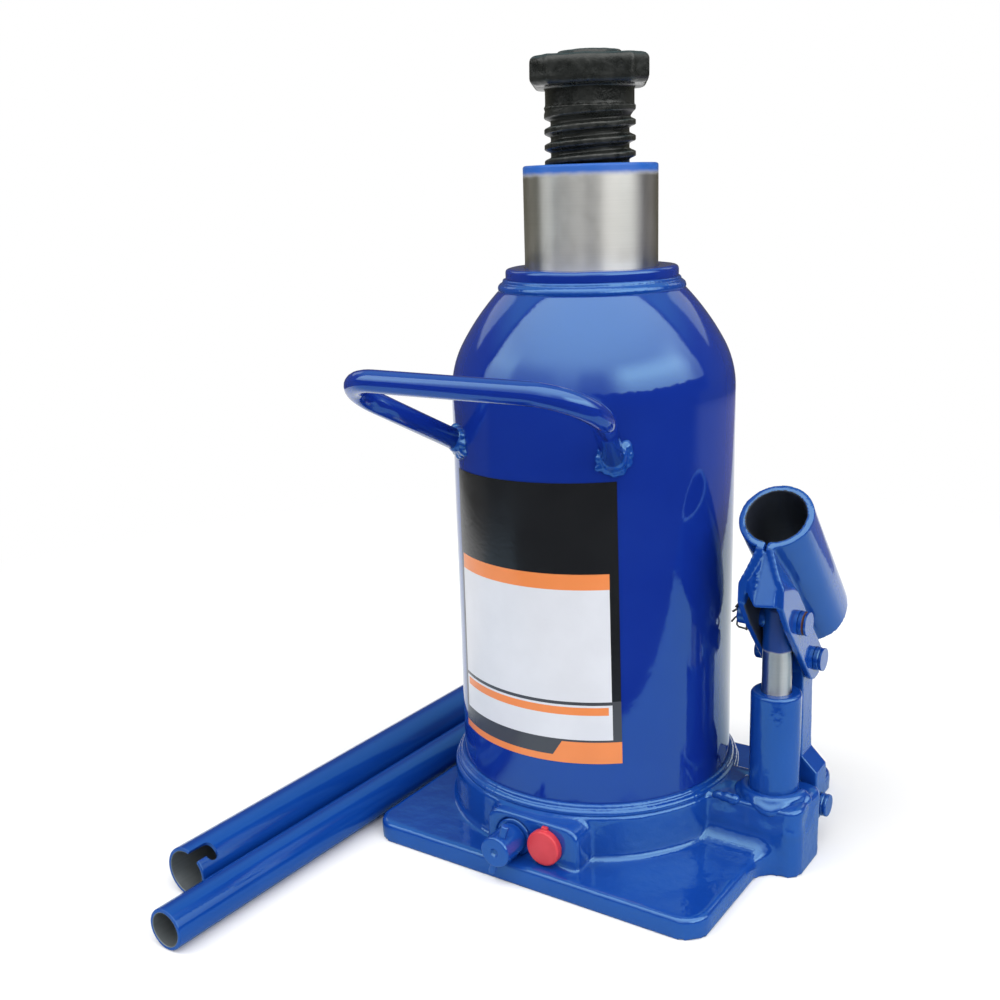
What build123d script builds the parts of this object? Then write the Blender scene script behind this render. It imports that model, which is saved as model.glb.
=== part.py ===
from build123d import *
import os
from math import acos, cos, radians, sin, sqrt

# Hydraulic bottle jack: a welded oil tank on a cast base, a ram with an extension screw, a side
# pump with its lever, and two loose handle tubes. Sizes are millimetres.
# The origin is on the ground under the ram axis. +Z is up, +X points to the pump and -Y to the
# operator, who faces the release valve.

os.makedirs("parts", exist_ok=True)

# Clearances
seat_gap = 0.05
running_gap = 0.05
side_gap = 0.25
stop_gap = 0.5

# Base casting: foot plate, ring under the tank, pump boss and valve pad
plate_left = 64.0
plate_right = 78.4
plate_half_depth = 69.3
plate_thick = 8.0
plate_corner_r = 10.0
plate_edge_r = 2.0
ring_r = 58.0
ring_top = 25.5
ring_edge_r = 1.0
ring_cove_r = 2.5
tank_seat_depth = 3.5
cylinder_seat_depth = 5.0
boss_half_width = 13.7
boss_right = 92.0
boss_top = 27.0
boss_corner_r = 6.0
boss_edge_r = 2.5
boss_cove_r = 8.0
pad_face = 62.0
pad_left = 13.0
pad_right = 27.0
pad_low = 5.5
pad_top = 24.5
pad_corner_r = 6.0
pad_edge_r = 1.2

# Oil tank: straight shell, rounded shoulder and flatter crown
tank_r = 54.0
tank_wall = 4.0
tank_over_stroke = 26.0
shoulder_r = 38.0
shoulder_turn = 28.8
crown_r = 93.5
tank_bead_r = 3.4
neck_gap = 2.1
neck_bead_r = 2.5
neck_bead_rise = 0.6

# Pressure cylinder and top collar
cylinder_bore_d = 55.0
cylinder_wall = 6.0
gasket_thick = 1.5
collar_r = 32.3
collar_rise = 7.56
collar_flange = 16.0
collar_spigot = 10.0
collar_edge_r = 1.2
wiper_height = 4.5
wiper_width = 3.0
wiper_below_top = 2.5
ring_seal_d = 1.5

# Ram
ram_d = 49.7
ram_raised = 29.5
ram_stroke = 150.0
ram_edge = 0.8
ram_proud = 7.2
ram_floor_gap = 2.0
ram_spigot_d = 34.0
ram_nut_height = 6.0
ram_nut_d = 46.0
cup_seal_height = 7.0
cup_lip = 3.0
screw_pocket_depth = 150.0
screw_pocket_d = 38.0

# Extension screw
screw_d = 33.4
screw_raised = 26.4
screw_travel = 60.0
screw_neck_d = 32.4
screw_neck = 6.9
screw_thread_engaged = 33.0
screw_tail = 4.0
screw_edge = 1.0
stop_ring_thick = 3.0
stop_ring_groove = 2.1
saddle_width = 42.0
saddle_height = 10.3
saddle_corner = 6.1
saddle_edge_r = 2.6
saddle_turn = 29.7
saddle_crown_d = 25.0
saddle_crown = 2.0
saddle_crown_taper = 30.0

# Pump
pump_x = 77.0
pump_d = 18.8
pump_top = 67.8
pump_edge_r = 1.2
pump_spigot_d = 16.0
pump_floor = 12.0
pump_gasket_thick = 1.2
plunger_d = 11.0
plunger_floor_gap = 1.2
plunger_down = 18.0
plunger_head_r = 6.9
plunger_edge = 0.6
plunger_seal_height = 3.0
plunger_seal_width = 1.8
plunger_seal_below_top = 6.0

# Lever socket, measured along its tube from the mouth and downwards from the tube axis
socket_tilt = 48.0
socket_tube_d = 27.0
socket_sheet = 2.8
socket_tube_length = 59.5
socket_neck_gap = 4.4
socket_neck_depth = 13.4
socket_flare_depth = 15.6
cheek_drop = 23.0
cheek_end_r = 8.2
cheek_front_depth = 13.5
cheek_front_slope = 6.5
cheek_corner = 1.5
web_fold = 2.6
web_fold_right = 2.6
plunger_pin_from_mouth = 33.6
plunger_pin_height = 95.7
pin_spacing = 26.7

# Link and pins
pin_d = 8.0
pin_head_d = 9.0
pin_head = 3.1
pin_tail = 6.4
open_pivot_gap = 1.3
link_depth = 11.0
link_eye_r = 7.2
link_foot_y = 20.3
link_foot_z = 15.0
link_foot_r = 6.0
lug_half_width = 5.3
lug_r = 6.4
fork_gap = 0.3
tine_thick = 6.0
fork_crotch = 11.0
fork_shoulder = 15.5
cotter_d = 2.0
cotter_eye_r = 2.3
cotter_leg = 2.8
cotter_spread = 24.0

# Release valve and safety valve, both along Y
release_x = -1.0
release_z = 14.5
release_stem_d = 12.0
release_thread_d = 9.0
release_reach = 13.0
release_bore_depth = 26.0
release_ball_d = 6.4
release_chamfer = 0.8
release_pin_d = 3.0
release_pin_length = 18.6
release_pin_from_end = 3.2
release_pin_turn = 18.0
gland_d = 15.0
gland_depth = 4.0
safety_x = 13.6
safety_z = 15.4
safety_bore_d = 7.2
safety_bore_depth = 24.0
safety_ball_d = 4.8
safety_cap_d = 13.6
safety_cap_thick = 3.0
safety_cap_plug = 3.5
safety_tab = 1.2
adjuster_length = 6.0
adjuster_depth = 4.5

# Oil ways and check valves
gallery_z = 7.0
gallery_d = 4.4
oil_way_d = 4.0
ram_port_r = 12.0
return_port_r = 42.0
suction_x = 42.0
suction_seat_z = 12.0
suction_chamber_d = 10.0
suction_plug_low = 0.5
suction_plug_height = 4.0
delivery_x = 16.0
delivery_seat_z = 10.0
delivery_chamber_d = 9.2
delivery_retainer_height = 1.4
check_ball_d = 6.0
spring_wire = 0.8

# Filler plug, carry handle and label
filler_below_shoulder = 16.0
filler_d = 10.0
filler_head_d = 17.0
filler_head = 3.2
handle_rod_d = 8.0
handle_foot_angle = 53.0
handle_below_shoulder = 16.0
handle_half_width = 54.4
handle_reach = 38.7
handle_rise = 30.0
handle_bend_r = 16.0
handle_bead_r = 6.4
handle_leg_reach = 1.15
label_low = 45.3
label_high = 151.8
label_half_angle = 39.0
label_thick = 0.25
label_gap = 0.03

# Loose handle tubes on the ground
plain_tube_d = 15.4
plain_tube_near = 165.3
slotted_tube_d = 19.6
slotted_tube_near = 138.3
handle_tube_wall = 1.5
handle_tube_length = 310.0
handle_tube_gap = 1.3
plain_tube_from_plate = 5.0
handle_tube_turn = 1.1
slot_angle = 59.5
slot_width = 5.0
slot_depth = 6.7
slot_hook = 2.5

# The shell is as tall as the stroke needs
tank_shoulder = ram_stroke + tank_over_stroke

# The crown is an arc that goes on from the shoulder without a corner and ends at the neck weld
crown_start = radians(shoulder_turn)
crown_centre_r = tank_r - shoulder_r - (crown_r - shoulder_r) * cos(crown_start)
crown_centre_z = tank_shoulder - (crown_r - shoulder_r) * sin(crown_start)
crown_end = acos((collar_r + neck_gap - crown_centre_r) / crown_r)

# Heights and radii that follow
collar_top = crown_centre_z + crown_r * sin(crown_end) + collar_rise
ram_top_collapsed = collar_top + ram_proud
filler_z = tank_shoulder - filler_below_shoulder
handle_foot_z = tank_shoulder - handle_below_shoulder
tank_low = ring_top - tank_seat_depth
cylinder_floor = tank_low - cylinder_seat_depth
cylinder_low = cylinder_floor + gasket_thick
cylinder_r = cylinder_bore_d / 2 + cylinder_wall
collar_low = collar_top - collar_flange
spigot_low = collar_low - collar_spigot
ram_r = ram_d / 2
ram_top = ram_top_collapsed + ram_raised
ram_low = cylinder_floor + ram_floor_gap + ram_raised
piston_top = spigot_low - (ram_stroke - ram_raised) - stop_gap
saddle_low = ram_top + screw_raised + stop_gap
stop_ring_top = ram_top - screw_thread_engaged - (screw_travel - screw_raised) - stop_gap
screw_low = stop_ring_top - stop_ring_thick - screw_tail
pump_r = pump_d / 2
plunger_r = plunger_d / 2
plunger_low = pump_floor + pump_gasket_thick + plunger_floor_gap + plunger_down
cheek_in = plunger_r + side_gap
cheek_out = cheek_in + socket_sheet
pin_r = pin_d / 2
tine_in = lug_half_width + fork_gap
tine_out = tine_in + tine_thick
release_seat = pad_face - release_bore_depth
safety_seat = pad_face - safety_bore_depth

# Directions along the socket tube (away from its mouth) and downwards across it
along = Vector(0, cos(radians(socket_tilt)), -sin(radians(socket_tilt)))
across = Vector(0, -sin(radians(socket_tilt)), -cos(radians(socket_tilt)))
plunger_pivot = Vector(pump_x, 0, plunger_pin_height)
link_pivot = plunger_pivot + along * pin_spacing
foot_pivot = Vector(pump_x, link_foot_y, link_foot_z)
mouth = plunger_pivot - along * plunger_pin_from_mouth - across * cheek_drop
link_line = link_pivot - foot_pivot
link_length = link_line.length
link_up = link_line.normalized()


def round_face(plane, outer_r, inner_r=0.0):
    """Disc on a plane, or a ring where inner_r is given."""
    with BuildSketch(plane) as face:
        Circle(outer_r)
        if inner_r > 0:
            Circle(inner_r, mode=Mode.SUBTRACT)
    return face.sketch


def level(height, x=0.0, y=0.0):
    """Plane facing up at a height, centred on x and y."""
    return Plane((x, y, height))


def facing_front(reach, x, z):
    """Plane facing the operator, reach in front of the ram axis, centred on x and z."""
    return Plane((x, -reach, z), x_dir=(1, 0, 0), z_dir=(0, -1, 0))


def facing_pump(x, point):
    """Plane facing +X at x, centred on a point of the lever plane."""
    return Plane((x, point.Y, point.Z), x_dir=(0, 1, 0), z_dir=(1, 0, 0))


def ball_offset(ball_d, hole_d):
    """Distance from a hole's rim plane to the centre of the ball that sits on it."""
    return sqrt((ball_d / 2 + seat_gap) ** 2 - (hole_d / 2) ** 2)


release_ball_reach = release_seat + ball_offset(release_ball_d, oil_way_d)
safety_ball_reach = safety_seat + ball_offset(safety_ball_d, oil_way_d)
suction_ball_z = suction_seat_z - ball_offset(check_ball_d, oil_way_d)
delivery_ball_z = delivery_seat_z + ball_offset(check_ball_d, oil_way_d)

# Base casting
with BuildPart() as base_casting:
    with BuildSketch(level(0)):
        with Locations(((plate_right - plate_left) / 2, 0)):
            RectangleRounded(plate_left + plate_right, 2 * plate_half_depth, plate_corner_r)
    extrude(amount=plate_thick)
    fillet(base_casting.edges().group_by(Axis.Z)[-1], plate_edge_r)

    # Pump boss, whose free end is rounded and runs down to the ground past the plate
    with BuildSketch(level(0)) as boss_plan:
        with Locations((boss_right / 2, 0)):
            Rectangle(boss_right, 2 * boss_half_width)
        fillet(boss_plan.vertices().group_by(Axis.X)[-1], boss_corner_r)
    extrude(amount=boss_top)
    fillet(base_casting.edges().group_by(Axis.Z)[-1], boss_edge_r)
    inner_corners = base_casting.edges().filter_by(Axis.Z).filter_by_position(
        Axis.X, plate_right - seat_gap, plate_right + seat_gap
    )
    fillet(inner_corners, boss_cove_r)

    # Ring under the tank, with a cast cove at its foot
    with BuildSketch(Plane.XZ):
        with BuildLine():
            Polyline((0, ring_top), (0, 0), (ring_r + ring_cove_r, 0), (ring_r + ring_cove_r, plate_thick))
            CenterArc((ring_r + ring_cove_r, plate_thick + ring_cove_r), ring_cove_r, 270, -90)
            Line((ring_r, plate_thick + ring_cove_r), (ring_r, ring_top - ring_edge_r))
            CenterArc((ring_r - ring_edge_r, ring_top - ring_edge_r), ring_edge_r, 0, 90)
            Line((ring_r - ring_edge_r, ring_top), (0, ring_top))
        make_face()
    revolve(axis=Axis.Z)

    # Valve pad on the operator's side
    with BuildSketch(facing_front(0, (pad_right - pad_left) / 2, (pad_low + pad_top) / 2)):
        RectangleRounded(pad_left + pad_right, pad_top - pad_low, pad_corner_r)
    extrude(amount=pad_face)
    pad_rim = base_casting.edges().filter_by_position(Axis.Y, -pad_face - seat_gap, -pad_face + seat_gap)
    fillet(pad_rim.filter_by_position(Axis.Z, plate_thick + pad_edge_r, ring_top), pad_edge_r)

    # Lug that carries the link, behind the pump boss
    with BuildSketch(facing_pump(pump_x - lug_half_width, Vector(0, 0, 0))):
        with Locations((link_foot_y, link_foot_z)):
            Circle(lug_r)
        with Locations((link_foot_y / 2, link_foot_z / 2)):
            Rectangle(link_foot_y, link_foot_z)
        with Locations((link_foot_y + lug_r / 2, link_foot_z / 2)):
            Rectangle(lug_r, link_foot_z)
    extrude(amount=2 * lug_half_width)

    # Seats of the tank, the pressure cylinder and the pump
    extrude(round_face(level(tank_low), tank_r + seat_gap), amount=boss_top, mode=Mode.SUBTRACT)
    extrude(
        round_face(level(cylinder_floor), cylinder_r + seat_gap),
        amount=cylinder_seat_depth,
        mode=Mode.SUBTRACT,
    )
    extrude(
        round_face(level(pump_floor, pump_x), pump_spigot_d / 2 + seat_gap),
        amount=boss_top,
        mode=Mode.SUBTRACT,
    )
    extrude(
        round_face(facing_pump(0, foot_pivot), pin_r + seat_gap), amount=boss_right, mode=Mode.SUBTRACT
    )

    # Oil way from the pump past the suction valve to the delivery valve
    with BuildSketch(Plane((delivery_x, 0, gallery_z), x_dir=(0, 1, 0), z_dir=(1, 0, 0))):
        Circle(gallery_d / 2)
    extrude(amount=pump_x - delivery_x, mode=Mode.SUBTRACT)
    extrude(round_face(level(gallery_z, pump_x), oil_way_d / 2), amount=pump_floor, mode=Mode.SUBTRACT)
    extrude(
        round_face(level(0, suction_x), suction_chamber_d / 2),
        amount=suction_seat_z,
        mode=Mode.SUBTRACT,
    )
    extrude(round_face(level(0, suction_x), oil_way_d / 2), amount=ring_top, mode=Mode.SUBTRACT)
    extrude(round_face(level(gallery_z, delivery_x), oil_way_d / 2), amount=ring_top, mode=Mode.SUBTRACT)
    extrude(
        round_face(level(delivery_seat_z, delivery_x), delivery_chamber_d / 2),
        amount=ring_top,
        mode=Mode.SUBTRACT,
    )

    # Release valve: gland seat, threaded bore, way to the ram and return to the tank
    release_front = facing_front(pad_face, release_x, release_z)
    extrude(round_face(release_front, gland_d / 2 + seat_gap), amount=-gland_depth, mode=Mode.SUBTRACT)
    extrude(
        round_face(release_front, release_thread_d / 2 + running_gap),
        amount=-release_bore_depth,
        mode=Mode.SUBTRACT,
    )
    extrude(round_face(release_front, oil_way_d / 2), amount=ram_port_r - pad_face, mode=Mode.SUBTRACT)
    extrude(
        round_face(level(release_z, release_x, -ram_port_r), oil_way_d / 2),
        amount=ring_top,
        mode=Mode.SUBTRACT,
    )
    extrude(
        round_face(level(release_z, release_x, -return_port_r), oil_way_d / 2),
        amount=ring_top,
        mode=Mode.SUBTRACT,
    )

    # Safety valve: bore and way to the ram
    safety_front = facing_front(pad_face, safety_x, safety_z)
    extrude(round_face(safety_front, safety_bore_d / 2), amount=-safety_bore_depth, mode=Mode.SUBTRACT)
    extrude(round_face(safety_front, oil_way_d / 2), amount=ram_port_r - pad_face, mode=Mode.SUBTRACT)
    extrude(
        round_face(level(safety_z, safety_x, -ram_port_r), oil_way_d / 2),
        amount=ring_top,
        mode=Mode.SUBTRACT,
    )
base_casting.part.label = "base_casting"
export_step(base_casting.part, "parts/base_casting.step")


def tank_edge(inset):
    """Points on the two arcs of the dome, shoulder and crown, at an inset from the outside."""
    shoulder = []
    for turn in (0, crown_start / 2, crown_start):
        reach = shoulder_r - inset
        shoulder.append((tank_r - shoulder_r + reach * cos(turn), tank_shoulder + reach * sin(turn)))
    crown = []
    for turn in (crown_start, (crown_start + crown_end) / 2, crown_end):
        reach = crown_r - inset
        crown.append((crown_centre_r + reach * cos(turn), crown_centre_z + reach * sin(turn)))
    return shoulder, crown


# Oil tank
with BuildPart() as reservoir_tank:
    outer_shoulder, outer_crown = tank_edge(0)
    inner_shoulder, inner_crown = tank_edge(tank_wall)
    with BuildSketch(Plane.XZ):
        with BuildLine():
            Line((tank_r, tank_low), outer_shoulder[0])
            ThreePointArc(*outer_shoulder)
            ThreePointArc(*outer_crown)
            Line(outer_crown[2], inner_crown[2])
            ThreePointArc(*inner_crown)
            ThreePointArc(*inner_shoulder)
            Line(inner_shoulder[0], (tank_r - tank_wall, tank_low))
            Line((tank_r - tank_wall, tank_low), (tank_r, tank_low))
        make_face()
    revolve(axis=Axis.Z)
    extrude(round_face(level(collar_low), collar_r + seat_gap), amount=collar_flange, mode=Mode.SUBTRACT)
    with BuildSketch(Plane((0, 0, filler_z), x_dir=(1, 0, 0), z_dir=(0, 1, 0))):
        Circle(filler_d / 2 + seat_gap)
    extrude(amount=tank_r, mode=Mode.SUBTRACT)
reservoir_tank.part.label = "reservoir_tank"
export_step(reservoir_tank.part, "parts/reservoir_tank.step")

# Weld between the tank and the base ring
with BuildPart() as tank_weld_ring:
    with BuildSketch(Plane.XZ):
        with Locations((tank_r + seat_gap, ring_top)):
            Circle(tank_bead_r)
    revolve(axis=Axis.Z)
    extrude(round_face(level(0), tank_r + seat_gap), amount=tank_shoulder, mode=Mode.SUBTRACT)
    add(base_casting.part, mode=Mode.SUBTRACT)
    extrude(round_face(level(0), 2 * ring_r), amount=ring_top, mode=Mode.SUBTRACT)
tank_weld_ring.part.label = "tank_weld_ring"
export_step(tank_weld_ring.part, "parts/tank_weld_ring.step")

# Top collar, which guides the ram and closes the pressure cylinder
with BuildPart() as top_collar:
    extrude(round_face(level(collar_low), collar_r), amount=collar_flange)
    fillet(top_collar.edges().group_by(Axis.Z)[-1], collar_edge_r)
    extrude(round_face(level(spigot_low), cylinder_bore_d / 2 - seat_gap), amount=collar_spigot)
    extrude(
        round_face(level(spigot_low), ram_r + 2 * running_gap),
        amount=collar_top - spigot_low,
        mode=Mode.SUBTRACT,
    )
    extrude(
        round_face(level(collar_top - wiper_below_top - wiper_height), ram_r + wiper_width),
        amount=wiper_height,
        mode=Mode.SUBTRACT,
    )
    with BuildSketch(Plane.XZ):
        with Locations((cylinder_bore_d / 2 - ring_seal_d / 2, collar_low - collar_spigot / 2)):
            Rectangle(ring_seal_d, ring_seal_d)
    revolve(axis=Axis.Z, mode=Mode.SUBTRACT)
top_collar.part.label = "top_collar"
export_step(top_collar.part, "parts/top_collar.step")

# Rubber wiper in the collar's groove
with BuildPart() as collar_wiper:
    extrude(
        round_face(
            level(collar_top - wiper_below_top - wiper_height + seat_gap),
            ram_r + wiper_width - seat_gap,
            ram_r + running_gap,
        ),
        amount=wiper_height - 2 * seat_gap,
    )
collar_wiper.part.label = "collar_wiper"
export_step(collar_wiper.part, "parts/collar_wiper.step")

# Round seal between the collar's spigot and the cylinder
with BuildPart() as collar_o_ring:
    with BuildSketch(Plane.XZ):
        with Locations((cylinder_bore_d / 2 - ring_seal_d / 2, collar_low - collar_spigot / 2)):
            Circle(ring_seal_d / 2 - seat_gap)
    revolve(axis=Axis.Z)
collar_o_ring.part.label = "collar_o_ring"
export_step(collar_o_ring.part, "parts/collar_o_ring.step")

# Weld between the tank's crown and the collar
with BuildPart() as neck_weld_ring:
    with BuildSketch(Plane.XZ):
        with Locations(((collar_r + outer_crown[2][0]) / 2, outer_crown[2][1] + neck_bead_rise)):
            Circle(neck_bead_r)
    revolve(axis=Axis.Z)
    add(reservoir_tank.part, mode=Mode.SUBTRACT)
    extrude(round_face(level(0), collar_r + seat_gap), amount=collar_top, mode=Mode.SUBTRACT)
    extrude(round_face(level(0), tank_r), amount=inner_crown[2][1], mode=Mode.SUBTRACT)
neck_weld_ring.part.label = "neck_weld_ring"
export_step(neck_weld_ring.part, "parts/neck_weld_ring.step")

# Pressure cylinder and its gasket
with BuildPart() as ram_cylinder:
    extrude(
        round_face(level(cylinder_low), cylinder_r, cylinder_bore_d / 2), amount=collar_low - cylinder_low
    )
ram_cylinder.part.label = "ram_cylinder"
export_step(ram_cylinder.part, "parts/ram_cylinder.step")

with BuildPart() as cylinder_gasket:
    extrude(round_face(level(cylinder_floor), cylinder_r, cylinder_bore_d / 2), amount=gasket_thick)
cylinder_gasket.part.label = "cylinder_gasket"
export_step(cylinder_gasket.part, "parts/cylinder_gasket.step")

# Ram, with a threaded mouth and a wider pocket for the screw below it
with BuildPart() as ram:
    extrude(round_face(level(piston_top), ram_r), amount=ram_top - piston_top)
    chamfer(ram.edges().group_by(Axis.Z)[-1], ram_edge)
    extrude(round_face(level(ram_low), ram_spigot_d / 2), amount=piston_top - ram_low)
    extrude(
        round_face(level(ram_top), screw_d / 2 + 2 * running_gap),
        amount=-screw_thread_engaged,
        mode=Mode.SUBTRACT,
    )
    extrude(
        round_face(level(ram_top - screw_thread_engaged), screw_pocket_d / 2),
        amount=screw_thread_engaged - screw_pocket_depth,
        mode=Mode.SUBTRACT,
    )
ram.part.label = "ram"
export_step(ram.part, "parts/ram.step")

# Piston, cup seal and nut on the ram's spigot
seal_low = ram_low + ram_nut_height
piston_low = seal_low + cup_seal_height
piston_r = cylinder_bore_d / 2 - running_gap
spigot_bore_r = ram_spigot_d / 2 + seat_gap
with BuildPart() as ram_piston:
    extrude(round_face(level(piston_low), piston_r, spigot_bore_r), amount=piston_top - piston_low)
ram_piston.part.label = "ram_piston"
export_step(ram_piston.part, "parts/ram_piston.step")

with BuildPart() as ram_cup_seal:
    extrude(round_face(level(seal_low), piston_r, spigot_bore_r), amount=cup_seal_height)
    extrude(
        round_face(level(seal_low), piston_r - cup_lip, ram_nut_d / 2),
        amount=cup_seal_height - cup_lip,
        mode=Mode.SUBTRACT,
    )
ram_cup_seal.part.label = "ram_cup_seal"
export_step(ram_cup_seal.part, "parts/ram_cup_seal.step")

with BuildPart() as ram_nut:
    with BuildSketch(level(ram_low)):
        RegularPolygon(ram_nut_d / 2, 6)
        Circle(spigot_bore_r, mode=Mode.SUBTRACT)
    extrude(amount=ram_nut_height)
ram_nut.part.label = "ram_nut"
export_step(ram_nut.part, "parts/ram_nut.step")

# Extension screw with its forged saddle, and the ring that stops it in the ram
groove_r = screw_d / 2 - stop_ring_groove
with BuildPart() as extension_screw:
    with BuildSketch(level(saddle_low)) as saddle_plan:
        Rectangle(saddle_width, saddle_width, rotation=saddle_turn)
        chamfer(saddle_plan.vertices(), saddle_corner)
    extrude(amount=saddle_height)
    fillet(extension_screw.faces().sort_by(Axis.Z)[-1].edges(), saddle_edge_r)
    fillet(extension_screw.faces().sort_by(Axis.Z)[0].edges(), saddle_edge_r)
    with BuildSketch(level(saddle_low + saddle_height)):
        Circle(saddle_crown_d / 2)
    extrude(amount=saddle_crown, taper=saddle_crown_taper)
    extrude(round_face(level(saddle_low), screw_neck_d / 2), amount=-screw_neck)
    extrude(
        round_face(level(saddle_low - screw_neck), screw_d / 2),
        amount=screw_low + screw_neck - saddle_low,
    )
    extrude(
        round_face(level(stop_ring_top - stop_ring_thick), screw_d, groove_r),
        amount=stop_ring_thick,
        mode=Mode.SUBTRACT,
    )
    chamfer(extension_screw.edges().group_by(Axis.Z)[0], screw_edge)
extension_screw.part.label = "extension_screw"
export_step(extension_screw.part, "parts/extension_screw.step")

with BuildPart() as screw_stop_ring:
    extrude(
        round_face(
            level(stop_ring_top - stop_ring_thick + running_gap),
            screw_pocket_d / 2 - side_gap,
            groove_r + running_gap,
        ),
        amount=stop_ring_thick - 2 * running_gap,
    )
screw_stop_ring.part.label = "screw_stop_ring"
export_step(screw_stop_ring.part, "parts/screw_stop_ring.step")

# Pump cylinder, its gasket and the plunger's seal
seal_z = pump_top - plunger_seal_below_top - plunger_seal_height
with BuildPart() as pump_cylinder:
    extrude(round_face(level(boss_top, pump_x), pump_r), amount=pump_top - boss_top)
    fillet(pump_cylinder.edges().group_by(Axis.Z)[-1], pump_edge_r)
    extrude(
        round_face(level(pump_floor + pump_gasket_thick, pump_x), pump_spigot_d / 2),
        amount=boss_top - pump_floor - pump_gasket_thick,
    )
    extrude(
        round_face(level(pump_floor, pump_x), plunger_r + running_gap), amount=pump_top, mode=Mode.SUBTRACT
    )
    extrude(
        round_face(level(seal_z, pump_x), plunger_r + plunger_seal_width),
        amount=plunger_seal_height,
        mode=Mode.SUBTRACT,
    )
pump_cylinder.part.label = "pump_cylinder"
export_step(pump_cylinder.part, "parts/pump_cylinder.step")

with BuildPart() as pump_gasket:
    extrude(round_face(level(pump_floor, pump_x), pump_spigot_d / 2, plunger_r), amount=pump_gasket_thick)
pump_gasket.part.label = "pump_gasket"
export_step(pump_gasket.part, "parts/pump_gasket.step")

with BuildPart() as plunger_seal:
    extrude(
        round_face(
            level(seal_z + seat_gap, pump_x),
            plunger_r + plunger_seal_width - seat_gap,
            plunger_r + running_gap,
        ),
        amount=plunger_seal_height - 2 * seat_gap,
    )
plunger_seal.part.label = "plunger_seal"
export_step(plunger_seal.part, "parts/plunger_seal.step")

# Plunger with a rounded head and a cross hole for its pin
with BuildPart() as pump_plunger:
    head_top = plunger_pin_height + plunger_head_r
    extrude(round_face(level(plunger_low, pump_x), plunger_r), amount=head_top - plunger_low)
    with BuildSketch(facing_pump(pump_x - plunger_d, plunger_pivot)):
        Circle(plunger_head_r)
        with Locations((0, -(plunger_pin_height - plunger_low) / 2)):
            Rectangle(2 * plunger_head_r, plunger_pin_height - plunger_low)
    extrude(amount=2 * plunger_d, mode=Mode.INTERSECT)
    extrude(
        round_face(facing_pump(pump_x - plunger_d, plunger_pivot), pin_r + running_gap),
        amount=2 * plunger_d,
        mode=Mode.SUBTRACT,
    )
    chamfer(pump_plunger.edges().group_by(Axis.Z)[0], plunger_edge)
pump_plunger.part.label = "pump_plunger"
export_step(pump_plunger.part, "parts/pump_plunger.step")

# Lever socket: one sheet rolled to a tube, pinched to a neck and opened again to two cheeks
link_pin_from_mouth = plunger_pin_from_mouth + pin_spacing
cheek_low = cheek_drop + cheek_end_r
neck_out = socket_neck_gap / 2 + socket_sheet
with BuildPart() as handle_socket:
    mouth_plane = Plane(mouth, x_dir=(1, 0, 0), z_dir=along)
    with BuildSketch(mouth_plane):
        Circle(socket_tube_d / 2)
        with BuildLine() as outer_neck:
            Polyline(
                (0, 0),
                (neck_out, 0),
                (neck_out, socket_neck_depth),
                (cheek_out, socket_flare_depth + socket_sheet / 2),
                (cheek_out, cheek_low),
                (0, cheek_low),
            )
            mirror(about=Plane.YZ)
        make_face()
        Circle(socket_tube_d / 2 - socket_sheet, mode=Mode.SUBTRACT)
        with BuildLine() as inner_neck:
            Polyline(
                (0, 0),
                (socket_neck_gap / 2, 0),
                (socket_neck_gap / 2, socket_neck_depth),
                (cheek_in, socket_flare_depth),
                (cheek_in, cheek_low),
                (0, cheek_low),
            )
            mirror(about=Plane.YZ)
        make_face(mode=Mode.SUBTRACT)
    extrude(amount=link_pin_from_mouth + cheek_end_r)

    # Side outline: a square mouth, a raked rear end, and cheeks that end round the link pin
    with BuildSketch(Plane(mouth, x_dir=along, z_dir=(-1, 0, 0))):
        with BuildLine():
            Polyline(
                (0, -socket_tube_d / 2),
                (0, cheek_front_depth),
                (cheek_front_slope, cheek_drop),
                (2 * cheek_front_slope, cheek_low - cheek_corner),
                (plunger_pin_from_mouth - cheek_end_r, cheek_low),
                (link_pin_from_mouth, cheek_low),
                (link_pin_from_mouth + cheek_end_r, cheek_drop),
                (socket_tube_length, -socket_tube_d / 2),
                close=True,
            )
        make_face()
        with Locations((link_pin_from_mouth, cheek_drop)):
            Circle(cheek_end_r)
    extrude(amount=socket_tube_d, both=True, mode=Mode.INTERSECT)

    # Folded web that closes the front between the cheeks, from the neck down to their corners
    web_top = mouth + along * (socket_sheet / 2) + across * socket_flare_depth
    web_line = mouth + along * (2 * cheek_front_slope) + across * (cheek_low - cheek_corner) - web_top
    with BuildSketch(Plane(web_top, x_dir=(1, 0, 0), z_dir=web_line)):
        with BuildLine():
            Polyline(
                (-cheek_in, 0),
                (web_fold_right, web_fold),
                (cheek_in, 0),
                (cheek_in, -socket_sheet),
                (web_fold_right, web_fold - socket_sheet),
                (-cheek_in, -socket_sheet),
                close=True,
            )
        make_face()
    extrude(amount=web_line.length)
    for pivot in (plunger_pivot, link_pivot):
        extrude(
            round_face(facing_pump(pump_x - socket_tube_d, pivot), pin_r + seat_gap),
            amount=2 * socket_tube_d,
            mode=Mode.SUBTRACT,
        )
handle_socket.part.label = "handle_socket"
export_step(handle_socket.part, "parts/handle_socket.step")

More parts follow.
